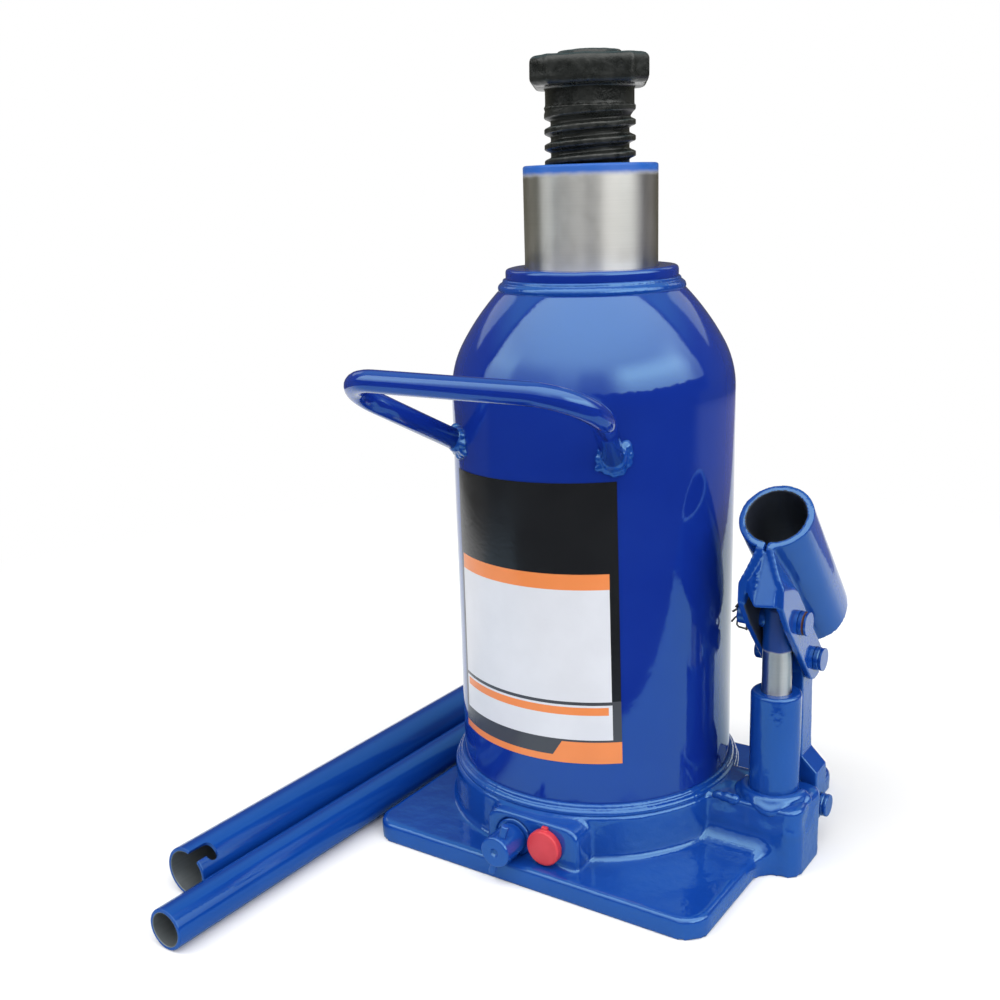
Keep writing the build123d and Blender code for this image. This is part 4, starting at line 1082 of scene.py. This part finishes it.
foot_r, foot_z = 10.6, 27.6
foot_drops = []
for turn in np.radians(np.linspace(-185, 5, 60)):
    sway = math.sin(4 * turn + 0.6)
    lip_r, lip_z = 11.8 + 0.5 * sway, 25.6 + 0.8 * math.sin(6 * turn)
    for radius, z, drop_r in ((foot_r, foot_z, 2.4), (lip_r, lip_z, 2.3 + 0.25 * sway)):
        spot = Vector((pump_x + radius * math.cos(turn), radius * math.sin(turn), z))
        foot_drops.append((spot * MM, drop_r))
ridge_start, ridge_end, ridge_y, ridge_z = 58.5, 66.5, -12.2, 25.9
for x in np.linspace(ridge_start, ridge_end, 14):
    spot = Vector((x, ridge_y, ridge_z + 0.4 * math.sin(1.7 * x)))
    foot_drops.append((spot * MM, 0.1 * x - 4.4))
foot_heap = drop_balls("foot_heap", foot_drops, cast_enamel, detail=3)
remeshed(foot_heap, voxel=0.5, smoothing=14)
place(foot_heap, "jack_body", "blue_paint")


# %% [markdown]
# ## Lever and link
# The lever is one sheet rolled to a tube, pinched under it and opened again to two cheeks. The
# pinch is tight at the mouth and opens further back, where the plunger needs room, so the sheet is
# a skin over sections that change along the tube. It is trimmed to the side outline, drilled,
# closed in front by a folded web with weld spatter on it, and melted to soft edges.

# %% Lever's sections
socket_tilt = math.radians(48.0)
socket_along = Vector((0, math.cos(socket_tilt), -math.sin(socket_tilt)))
socket_across = Vector((0, -math.sin(socket_tilt), -math.cos(socket_tilt)))
socket_mouth = Vector((pump_x, -5.39, 136.06))
socket_r, socket_sheet, socket_length = 13.5, 2.8, 68.5
cheek_in, cheek_low, neck_low = 5.75, 31.2, 13.9


def lever_spot(x, reach, depth):
    """A point by its side, its way along the tube from the mouth, and its depth below the axis."""
    spot = socket_mouth + Vector((x, 0, 0)) + socket_along * reach + socket_across * depth
    return spot * MM


def lever_section(open_share):
    """The rolled sheet's outline, from the tight pinch at the mouth (0) to the open one (1)."""
    gap = 0.5 + 1.7 * open_share
    flare = 25.0 - 9.4 * open_share
    halves = []
    for radius, side, neck_x, cheek_x in (
            (socket_r, 1, gap + socket_sheet, cheek_in + socket_sheet),
            (socket_r - socket_sheet, -1, gap, cheek_in)):
        first = math.asin(neck_x / radius)
        turns = np.linspace(first, 2 * math.pi - first, 73)
        ring = [(radius * math.sin(t), radius * math.cos(t)) for t in turns]
        flare_low = flare + (0.5 + side * 0.5) * socket_sheet / 2
        foot = [(cheek_x, cheek_low), (cheek_x, flare_low), (neck_x, neck_low)]
        whole = foot + ring + [(-x, depth) for x, depth in reversed(foot)]
        halves.append(whole if side > 0 else whole[::-1])
    return halves[0] + halves[1]


print("points in a section:", len(lever_section(0.0)))


# %% Lever's sheet
def skin_over(name, loops, material):
    """A closed shape over outlines that all have the same number of corners."""
    count, last = len(loops[0]), len(loops) - 1
    faces = [list(range(count)), list(range((last + 1) * count - 1, last * count - 1, -1))]
    for row in range(last):
        low, high = row * count, (row + 1) * count
        faces += [[low + k, low + (k + 1) % count, high + (k + 1) % count, high + k]
                  for k in range(count)]
    verts = [spot for loop in loops for spot in loop]
    return new_object(name, solid_mesh(name, verts, faces), material)


open_from, open_over = 2.0, 20.0
loops = []
for reach in np.linspace(0.0, socket_length, 40):
    share = min(max((reach - open_from) / open_over, 0.0), 1.0)
    share = share * share * (3 - 2 * share)
    loops.append([lever_spot(x, reach, depth) for x, depth in lever_section(share)])
socket_lever = skin_over("socket_lever", loops, forged_enamel)
print("sheet of the lever:", len(socket_lever.data.vertices), "points")


# %% Lever's side outline and holes
def cut_with(item, tool, operation):
    """Applies a boolean with another object and removes that object."""
    cut = item.modifiers.new(operation, "BOOLEAN")
    cut.object, cut.operation, cut.solver = tool, operation, "EXACT"
    evaluated(item)
    bpy.data.objects.remove(tool)


def side_block(name, outline):
    """A block across the lever with a side outline of (reach, depth) points."""
    half_width = 14
    loops = [[lever_spot(x, *point) for point in outline] for x in (-half_width, half_width)]
    return skin_over(name, loops, forged_enamel)


pin_depth, plunger_reach, link_reach, pin_hole_r, eye_r = 23.0, 33.6, 60.3, 4.05, 8.2
side_outline = [(0, -socket_r), (0, 13.5), (6.5, pin_depth), (13.0, cheek_low - 1.5),
                (25.4, cheek_low)]
side_outline += arc((link_reach, pin_depth), eye_r, 90, 0, 10) + [(59.5, -socket_r)]
cut_with(socket_lever, side_block("trim", side_outline), "INTERSECT")
for reach in (plunger_reach, link_reach):
    hole = arc((reach, pin_depth), pin_hole_r, 0, 360, 40)[:-1]
    cut_with(socket_lever, side_block("drill", hole), "DIFFERENCE")
print("lever trimmed:", len(socket_lever.data.polygons), "faces")


# %% Lever's web
# Reach and depth of the web's top, of its slope, and of the way off its surface.
web_top, web_slope, web_normal = (1.4, 14.6), (11.6, 15.1), (-0.77, 0.634)
web_thick = 2.6


def web_spot(x, share, out):
    """A point on the web: the share goes down its slope, out is off its surface."""
    reach, depth = [start + slope * share + normal * out
                    for start, slope, normal in zip(web_top, web_slope, web_normal)]
    return lever_spot(x, reach, depth)


web_halves = [
    [(-1.8, 0.0, 0.0), (0.3, 0.0, 0.3), (-0.3, 1.0, 4.4), (-6.2, 0.74, 0.0), (-5.8, 0.45, 0.0)],
    [(0.3, 0.0, 0.3), (1.8, 0.0, 0.0), (5.9, 0.45, 0.4), (6.3, 0.98, 2.2), (-0.3, 1.0, 4.4)],
]
webs = []
for half in web_halves:
    loops = [[web_spot(x, share, out - deep) for x, share, out in half] for deep in (0, web_thick)]
    webs.append(skin_over("web", loops, forged_enamel))
spatter_drops = [(-1.6, 0.42, 1.2, 0.75), (-0.6, 0.36, 1.3, 0.6), (-1.0, 0.52, 1.9, 0.85),
                 (-2.2, 0.55, 1.4, 0.6), (-1.2, 0.64, 2.3, 0.7)]
spatter = drop_balls("spatter", [(web_spot(*spot), drop_r) for *spot, drop_r in spatter_drops],
                     forged_enamel, detail=2)
socket_lever = joined("socket_lever", [socket_lever, *webs, spatter], forged_enamel)
print("lever with its web:", len(socket_lever.data.polygons), "faces")


# %% Lever's skin
def line_bore(item, start, along, radius, material):
    """Gives the faces within a radius of an axis, in millimetres, a second material."""
    item.data.materials.append(material)
    for face in item.data.polygons:
        arm = face.center - Vector(start) * MM
        arm -= along * arm.dot(along)
        if arm.length < radius * MM:
            face.material_index = 1


remeshed(socket_lever, voxel=0.47, smoothing=5)
lumpy(socket_lever, height=0.08, size=14.0, seed=8)
# The faces inside the lever's bore and the inner faces of its cheeks get the near-black second
# material, which is painted shade.
line_bore(socket_lever, socket_mouth, socket_along, radius=11.2, material=painted_lever_shade)
shade_x, shade_reach, shade_depth = 6.9, 14.5, 14.0
for face in socket_lever.data.polygons:
    arm = face.center / MM - socket_mouth
    inward = abs(arm.x) < shade_x and arm.x * face.normal.x < -0.3 * abs(arm.x)
    if inward and arm.dot(socket_along) > shade_reach and arm.dot(socket_across) > shade_depth:
        face.material_index = 1
place(socket_lever, "lever", "blue_paint", "handle_socket")

# %% [markdown]
# The link is forged and painted, with an eye above and a fork below. Its solid has the right
# shape, so a copy is melted to soft edges, as the base is, instead of being built anew.

# %% Link
link_bar = cast_copy("pump_link", "link_bar", forged_enamel, voxel=0.40, smoothing=9)
lumpy(link_bar, height=0.10, size=12.0, seed=9)
place(link_bar, "link", "blue_paint", "pump_link")


# %% [markdown]
# Three clevis pins hold the lever and the link. Each is a turned pin with a grooved, rounded head;
# a cotter is spread through its tail. Three outlines could be drawn; the pins differ only in place
# and length, so one function turns them all. Rust shows in the groove of the plunger's pin.

# %% Clevis pins and cotters
def clevis_pin(name, node, body, y, z, head_low, head_high, tail, rusty=False):
    """A pin along X with a grooved head on the pump's outer side."""
    pin_r, head_r, groove_deep, groove_half = 4.0, 4.4, 0.35, 0.4
    groove = (head_low + head_high) / 2
    outline = [
        (0, tail), (pin_r, tail), (pin_r, head_low), (head_r, head_low),
        (head_r, groove - groove_half), (head_r - groove_deep, groove),
        (head_r, groove + groove_half), (head_r, head_high), (0, head_high),
    ]
    outline = soften(outline, [0, 0.6, 0.1, 0.3, 0.2, 0.2, 0.2, 0.9, 0], steps=4)
    pin = lathe(name, outline, forged_enamel, origin=(0, y, z), axis=(1, 0, 0), turns=64)
    lumpy(pin, height=0.12, size=4.0, seed=13)
    keep_within(pin, node)
    pin.data.materials.append(rust)
    for face in pin.data.polygons:
        if rusty and abs(face.center.x - groove * MM) < 0.45 * MM:
            face.material_index = 1
    place(pin, body, "blue_paint", node)


upper_pins = {"head_low": 85.55, "head_high": 89.3, "tail": 62.05}
clevis_pin("plunger_clevis", "plunger_pin", "lever", y=0, z=95.7, rusty=True, **upper_pins)
clevis_pin("link_clevis", "link_pin", "lever", y=17.87, z=75.86, **upper_pins)
clevis_pin("base_clevis", "base_pin", "jack_body", y=20.3, z=15.0,
           head_low=88.85, head_high=91.95, tail=58.75)
for node, body in (("plunger_pin_cotter", "lever"), ("link_pin_cotter", "lever"),
                   ("base_pin_cotter", "jack_body")):
    cotter = cast_copy(node, node.replace("_pin_", "_wire_"), dark_wire, voxel=0.22, smoothing=2)
    place(cotter, body, "dark_wire", node)

# %% [markdown]
# The plunger pin's cotter was bent by hand, so its wire ends stick out towards the tank. A curve
# with a bevel would do for each end. Here a small geometry-nodes tree draws a round section along
# a few given points, with the wire's radius as a named input.

# %% Wire tree
def wire_along(tree, given, curve):
    """Draws a round wire along a curve and ends the tree."""
    ring = add_node(tree, "GeometryNodeCurvePrimitiveCircle",
                    {"Radius": given["Wire radius"], "Resolution": 10})
    drawn = add_node(tree, "GeometryNodeCurveToMesh",
                     {"Curve": curve, "Profile Curve": ring.outputs[0], "Fill Caps": True})
    end_tree(tree, drawn.outputs[0], given["Finish"])


wire_tree, given = shape_tree("round_wire", Path="line", Wire_radius=0.0004, Finish=None)
path = add_node(wire_tree, "GeometryNodeMeshToCurve", {"Mesh": given["Path"]})
wire_along(wire_tree, given, path.outputs[0])
print("wire tree nodes:", len(wire_tree.nodes))


# %% Cotter wire ends
def bent_wire(name, points, wire_r, material):
    """A wire along a path of points in millimetres."""
    mesh = bpy.data.meshes.new(name)
    line = [Vector(point) * MM for point in points]
    mesh.from_pydata(line, [(k, k + 1) for k in range(len(line) - 1)], [])
    item = run_tree(name, wire_tree, mesh, Wire_radius=wire_r * MM, Finish=material)
    face_outwards(item.data)
    return item


tail_x, tail_y, tail_z = 62.6, -1.2, 95.7
side_x, side_y = -0.83, -0.56


def beside_tail(sideways, upwards):
    """A point beside the plunger pin's tail, sideways towards the tank and the operator."""
    return (tail_x + side_x * sideways, tail_y + side_y * sideways, tail_z + upwards)


# Each end: its wire's radius, and its points (sideways, upwards).
wire_paths = [
    (0.42, ((-1.1, 1.2), (0.2, 2.3), (1.4, 1.7), (3.0, 0.8))),
    (0.36, ((-0.6, 0.1), (0.6, -0.5), (2.0, -1.6), (3.2, -3.1))),
    (0.36, ((0.2, -0.8), (1.0, -2.6), (1.2, -4.2), (0.5, -5.2), (-1.9, -6.0))),
    (0.62, ((-1.6, 2.2), (-0.6, 3.6), (0.8, 3.5), (1.6, 2.4))),
]
wire_ends = []
for number, (wire_r, points) in enumerate(wire_paths, 1):
    line = [beside_tail(*point) for point in points]
    wire_ends.append(bent_wire(f"end_{number}", line, wire_r, dark_wire))
place(joined("cotter_wire_ends", wire_ends, dark_wire), "lever", "dark_wire")

# %% [markdown]
# ## Valves on the front pad
# The release valve is a turned stem with a dimple left by the lathe's centre and a cross pin
# through it, so that a slotted tube can turn it. Next to it a red cap closes the safety valve. The
# stem, its pin and the gland could be copies of their solids; they are turned anew, because small
# rounds and the dimple need finer faces. The cap's solid is fine enough for a soft copy.

# %% Release valve
release_x, release_z = -1.0, 14.5
release_axis = (release_x, 0, release_z)
towards_operator = (0, -1, 0)
stem_r, disc_r, disc_low, disc_face = 4.4, 6.0, 62.25, 75.0
stem_outline = [(0, 41.8), (2.6, 41.8), (stem_r, 38.7), (stem_r, disc_low), (disc_r, disc_low),
                (disc_r, disc_face), (1.7, disc_face), (1.0, 74.2), (0, 73.9)]
stem_outline = soften(stem_outline, [0, 0.2, 0.2, 0.2, 0.4, 0.9, 0.25, 0.3, 0], steps=4)
stem = lathe("release_stem", stem_outline, cast_enamel, origin=release_axis,
             axis=towards_operator, turns=96)
lumpy(stem, height=0.10, size=4.0, seed=10)
place(stem, "release_stem", "blue_paint", "release_valve")

# %% Cross pin and gland
pin_lean = math.radians(18.0)
pin_along = (math.sin(pin_lean), 0, math.cos(pin_lean))
half_pin, pin_r, pin_y = 11.0, 1.5, -71.8
pin_outline = [(0, -half_pin), (pin_r, -half_pin), (pin_r, half_pin), (0, half_pin)]
pin_outline = divide(soften(pin_outline, [0, 0.6, 0.6, 0], steps=4), 1.2)
cross_pin = lathe("release_ears", pin_outline, cast_enamel,
                  origin=(release_x, pin_y, release_z), axis=pin_along, turns=40)
lumpy(cross_pin, height=0.15, size=2.5, seed=11)
place(cross_pin, "release_stem", "blue_paint", "release_cross_pin")

gland_bore_r, gland_r, gland_low, gland_face = 4.6, 7.5, 58.0, 62.0
gland_outline = [(gland_bore_r, gland_low), (gland_r, gland_low), (gland_r, gland_face),
                 (gland_bore_r, gland_face)]
gland = lathe("release_collar", soften(gland_outline, [0.3, 0.3, 0.9, 0.4], closed=True),
              cast_enamel, origin=release_axis, axis=towards_operator, closed=True, turns=96)
place(gland, "jack_body", "blue_paint", "release_gland")

# %% Safety cap
cap = cast_copy("safety_cap", "valve_cap", red_plastic, voxel=0.22, smoothing=3)
place(cap, "jack_body", "red_plastic", "safety_cap")

# %% [markdown]
# ## Carry handle
# A round rod with two bends, welded to the tank at both feet. It could be bent with a modifier; a
# curve with a round section, turned into a mesh, keeps the rod's thickness even through the bends.
# Each weld is an uneven ring of drops melted together.

# %% Carry handle
rod_r, bend_r, bend_steps = 3.97, 16.0, 14
rod_corners = [Vector((-32.5, -43.1, 160.0)), Vector((-54.4, -92.7, 190.0)),
               Vector((54.4, -92.7, 190.0)), Vector((32.5, -43.1, 160.0))]
rod_line = [rod_corners[0]]
for before, corner, after in zip(rod_corners, rod_corners[1:], rod_corners[2:]):
    back = (before - corner).normalized()
    on = (after - corner).normalized()
    half = back.angle(on) / 2
    middle = corner + (back + on).normalized() * (bend_r / math.sin(half))
    start = corner + back * (bend_r / math.tan(half)) - middle
    end = corner + on * (bend_r / math.tan(half)) - middle
    rod_line += [middle + start.slerp(end, step / bend_steps).normalized() * bend_r
                 for step in range(bend_steps + 1)]
rod_line.append(rod_corners[-1])

rod_curve = bpy.data.curves.new("carry_rod", "CURVE")
rod_curve.dimensions = "3D"
rod_curve.bevel_depth = rod_r * MM
rod_curve.bevel_resolution = 8
rod_curve.use_fill_caps = True
spline = rod_curve.splines.new("POLY")
spline.points.add(len(rod_line) - 1)
for point, spot in zip(spline.points, rod_line):
    point.co = (*(spot * MM), 1)
rod_object = add_to_scene("carry_rod", rod_curve)
rod_mesh = evaluated_mesh(rod_object)
bpy.data.objects.remove(rod_object)
rod = new_object("carry_rod", face_outwards(rod_mesh), sheet_enamel)
place(rod, "jack_body", "blue_paint", "carry_handle")

# %% Handle welds
# Each drop: how far it lies to the side and above the rod's foot, and its radius.
weld_spots = [
    (0.0, 0.0, 5.2), (4.2, 3.6, 2.5), (5.3, 1.0, 1.9), (5.6, 3.0, 1.4), (4.4, -2.2, 2.2),
    (2.4, -4.4, 2.3), (0.2, -5.4, 2.0), (-2.4, -4.6, 1.7), (-4.2, -3.0, 2.0), (-5.6, -3.8, 1.3),
    (-4.8, -0.4, 1.8), (-4.2, 2.2, 1.5),
]
weld_x, weld_y, weld_z = 33.0, -43.6, 160.4
weld_drops = []
for side in (-1, 1):
    foot_turn = math.atan2(weld_y, side * weld_x)
    for sideways, upwards, drop_r in weld_spots:
        turn = foot_turn + side * sideways / tank_r
        spot = Vector((tank_r * math.cos(turn), tank_r * math.sin(turn), weld_z + upwards))
        weld_drops.append((spot * MM, drop_r))
handle_welds = drop_balls("handle_welds", weld_drops, weld_enamel, detail=3)
remeshed(handle_welds, voxel=0.45, smoothing=3)
lumpy(handle_welds, height=0.4, size=3.0, seed=12)
place(handle_welds, "jack_body", "blue_paint", "carry_handle_welds")

# %% [markdown]
# ## Label
# The label is a thin printed film round the front of the tank, here in plain bands of colour. An
# image could carry the bands, but nodes draw them sharper and need no file. The sheet has a UV map
# from edge to edge, so the bands are drawn by height and width.

# %% Label sheet
label_low, label_high = 45.3, 151.8
label_r, label_thick = 54.05, 0.22
label_half_turn = math.radians(39.0)
label_skew = math.radians(0.8)
label_sag = 2.2
columns, rows = 64, 40
edit = bmesh.new()
uv_layer = edit.loops.layers.uv.new("label")


def label_spot(radius, row, column):
    """A point of the sheet, whose right edge leans and whose top falls to the left."""
    up, over = row / rows, column / columns
    turn = -math.pi / 2 + label_half_turn * (2 * over - 1) - label_skew * over * (2 * up - 1)
    z = label_low + (label_high - label_low) * up - label_sag * (1 - over) * up
    return (radius * math.cos(turn) * MM, radius * math.sin(turn) * MM, z * MM)


def printed_face(verts, corners):
    """A face whose UV follows the rows and columns of its corners."""
    face = edit.faces.new(verts)
    for loop, (row, column) in zip(face.loops, corners):
        loop[uv_layer].uv = (column / columns, row / rows)


outer, inner = [
    [[edit.verts.new(label_spot(radius, row, column)) for column in range(columns + 1)]
     for row in range(rows + 1)]
    for radius in (label_r + label_thick, label_r)
]
for row in range(rows):
    for column in range(columns):
        corners = ((row, column), (row, column + 1), (row + 1, column + 1), (row + 1, column))
        printed_face([outer[r][c] for r, c in corners], corners)
        edit.faces.new([inner[r][c] for r, c in reversed(corners)])
border = [(r, 0) for r in range(rows, 0, -1)] + [(0, c) for c in range(columns)]
border += [(r, columns) for r in range(rows)] + [(rows, c) for c in range(columns, 0, -1)]
for (r, c), (r2, c2) in zip(border, border[1:] + border[:1]):
    printed_face([inner[r][c], inner[r2][c2], outer[r2][c2], outer[r][c]],
                 ((r, c), (r2, c2), (r2, c2), (r, c)))
label_mesh = written(edit, bpy.data.meshes.new("label_film"))
print("label sheet:", len(label_mesh.polygons), "faces")

# %% Label's bands
label_film, tree, shader = finish("label_film", Roughness=0.22, IOR=1.5)
sheet_uv = add_node(tree, "ShaderNodeUVMap", uv_map="label").outputs[0]
across, upward, _ = add_node(tree, "ShaderNodeSeparateXYZ", {0: sheet_uv}).outputs


def between(value, low, high):
    """1 where the value lies between two bounds, else 0."""
    above = math_node(tree, "GREATER_THAN", value, low)
    return both(tree, above, math_node(tree, "LESS_THAN", value, high))


def block(left, right, low, high):
    """Mask of a rectangle on the label."""
    return both(tree, between(across, left, right), between(upward, low, high))


black, orange = (0.010, 0.011, 0.013, 1), (0.70, 0.215, 0.062, 1)
paper_white, charcoal = (0.58, 0.60, 0.65, 1), (0.050, 0.053, 0.062, 1)
lean = math_node(tree, "MULTIPLY_ADD", upward, -0.9, across)
past_lean = math_node(tree, "GREATER_THAN", lean, 0.63)
bands = [
    (block(-1, 2, -1, 0.687), charcoal),
    (block(0.5, 2, 0.23, 0.687), black),
    (block(0.03, 0.955, 0.632, 0.687), orange),
    (block(0.03, 0.954, 0.229, 0.632), paper_white),
    (block(0.03, 0.956, 0.088, 0.217), paper_white),
    (block(0.05, 0.938, 0.180, 0.209), orange),
    (block(-1, 2, -1, 0.0800), charcoal),
    (block(-1, 2, -1, 0.0260), orange),
    (both(tree, block(-1, 2, -1, 0.0800), past_lean), orange),
]
ink = black
for mask, colour in bands:
    ink = mix_colours(tree, mask, ink, colour)
dust = use_group(tree, paint_depth, Colour=(0.95, 0.95, 0.95, 1), Thin_colour=white,
                 Patches_per_metre=60.0, Contrast=1.0)
feed(tree, shader.inputs["Base Color"], mix_colours(tree, 1.0, ink, dust["Colour"], "MULTIPLY"))
vary_roughness(tree, shader, dust["Patches"], 0.18, 0.26)
peel(tree, shader, pores=600.0, waves=80.0, lumps=0.00003)
label = new_object("label_film", label_mesh, label_film)
label_mesh.set_sharp_from_angle(angle=math.radians(40))
place(label, "jack_body", "label_film", "label_plate")

# %% [markdown]
# ## Handle tubes
# Two lengths of drawn tube lie beside the base; one slides into the other and both fit the lever's
# socket. Each is a turned ring about its own axis, painted outside and bare inside, so its faces
# take one of two materials by their distance from the axis. The wider one has a hooked slot cut by
# a boolean.

# %% Handle tubes
tube_turn = math.radians(1.1)
tube_along = Vector((math.sin(tube_turn), math.cos(tube_turn), 0))
tube_length, tube_wall = 310.0, 1.5


def handle_tube(name, near, outer_r):
    """A painted tube from its near end's centre."""
    inner_r = outer_r - tube_wall
    outline = [(inner_r, 0), (outer_r, 0), (outer_r, tube_length), (inner_r, tube_length)]
    outline = soften(outline, [0.25, 0.45, 0.45, 0.25], steps=3, closed=True)
    outline = divide(outline + outline[:1], 6.0)[:-1]
    return lathe(name, outline, tube_enamel, origin=near, axis=tube_along, closed=True, turns=96)


def bare_inside(tube, near, outer_r):
    """Bare steel on a tube's inner faces."""
    line_bore(tube, near, tube_along, outer_r - 0.75 * tube_wall, tube_bore)


plain_near, plain_r = (-76.7, -165.3, 7.7), 7.68
plain = handle_tube("plain_tube", plain_near, plain_r)
bare_inside(plain, plain_near, plain_r)
place(plain, "plain_tube", "tube_paint", "handle_tube_plain")

# %% Slotted tube
slotted_near, slotted_r = (-95.5, -138.3, 9.8), 9.78
slotted = handle_tube("slotted_tube", slotted_near, slotted_r)
slot_angle = math.radians(59.5)
slot_side = Vector((math.cos(tube_turn), -math.sin(tube_turn), 0))
slot_out = slot_side * math.cos(slot_angle) + Vector((0, 0, math.sin(slot_angle)))
slot_across = slot_out.cross(tube_along)
slot_half, slot_depth, slot_hook, slot_start = 2.5, 6.7, 2.5, -2.0
slot_shape = [(slot_start, slot_half), (slot_start, -slot_half)]
slot_shape += [(slot_depth + slot_half * math.sin(t), -slot_hook - slot_half * math.cos(t))
               for t in np.radians(np.linspace(-90, 90, 9))]
slot_shape += [(slot_depth + slot_half * math.sin(t), slot_half * math.cos(t))
               for t in np.radians(np.linspace(90, 0, 6))]
slot_loops = []
for lift in (0.0, 2 * slotted_r):
    start = Vector(slotted_near) + slot_out * lift
    slot_loops.append([(start + tube_along * out + slot_across * side) * MM
                       for out, side in slot_shape])
cut_with(slotted, skin_over("slot_cutter", slot_loops, tube_enamel), "DIFFERENCE")
bare_inside(slotted, slotted_near, slotted_r)
slotted.data.set_sharp_from_angle(angle=math.radians(35))
place(slotted, "slotted_tube", "tube_paint", "handle_tube_slotted")

# %% [markdown]
# ## Filler plug and the parts inside
# At the back a rubber plug closes the filler hole. Inside sit the cylinder, piston, seals, balls
# and springs; nobody sees them in the picture, but each keeps its solid and gets its own finish.
# The two springs are wound by a geometry-nodes tree.

# %% Filler plug
plug = cast_copy("filler_plug", "filler_stopper", rubber, voxel=0.35, smoothing=4)
place(plug, "jack_body", "seal_rubber", "filler_plug")

# %% Spring tree
spring_tree, given = shape_tree("coil_spring", Turns=5.0, Coil_radius=0.002, Length=0.01,
                                Wire_radius=0.0003, Finish=None)
coil = add_node(spring_tree, "GeometryNodeCurveSpiral",
                {"Resolution": 24, "Rotations": given["Turns"], "Height": given["Length"],
                 "Start Radius": given["Coil radius"], "End Radius": given["Coil radius"]})
wire_along(spring_tree, given, coil.outputs[0])
print("spring tree nodes:", len(spring_tree.nodes))


# %% Springs
def coil_spring(name, node, turns, wire_r, base, turned):
    """A spring in the space of its solid, in millimetres.

    Base is its fixed end; turned lays it along Y."""
    low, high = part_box(node)
    span = high - low
    length = span.y if turned else span.z
    wire_r *= MM
    spring = run_tree(name, spring_tree, Turns=turns, Coil_radius=span.x / 2 - wire_r,
                      Wire_radius=wire_r, Length=length - 2 * wire_r, Finish=inner_steel)
    spring.data.transform(Matrix.Translation((0, 0, wire_r)))
    if turned:
        spring.data.transform(Matrix.Rotation(math.radians(-90), 4, "X"))
    spring.data.transform(Matrix.Translation(Vector(base) * MM))
    face_outwards(spring.data)
    place(spring, "jack_body", "plain_steel", node)
    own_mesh(spring)


coil_spring("valve_spring", "safety_spring", turns=6.0, wire_r=0.4, base=(13.6, -51.5, 15.4),
            turned=True)
coil_spring("inlet_spring", "suction_spring", turns=2.5, wire_r=0.22, base=(42.0, 0, 4.5),
            turned=False)

# %% Parts inside
inside = {
    inner_steel: ["ram_cylinder", "ram_piston", "ram_nut", "safety_adjuster", "suction_plug",
                  "delivery_retainer", "release_ball", "suction_ball", "delivery_ball",
                  "safety_ball"],
    rubber: ["collar_wiper", "collar_o_ring", "ram_cup_seal", "plunger_seal"],
    copper: ["cylinder_gasket", "pump_gasket"],
    black_oxide: ["screw_stop_ring"],
}
for material, nodes in inside.items():
    for node in nodes:
        materials = solids[node].data.materials
        materials.clear()
        materials.append(material)
print("parts inside:", sum(len(nodes) for nodes in inside.values()))
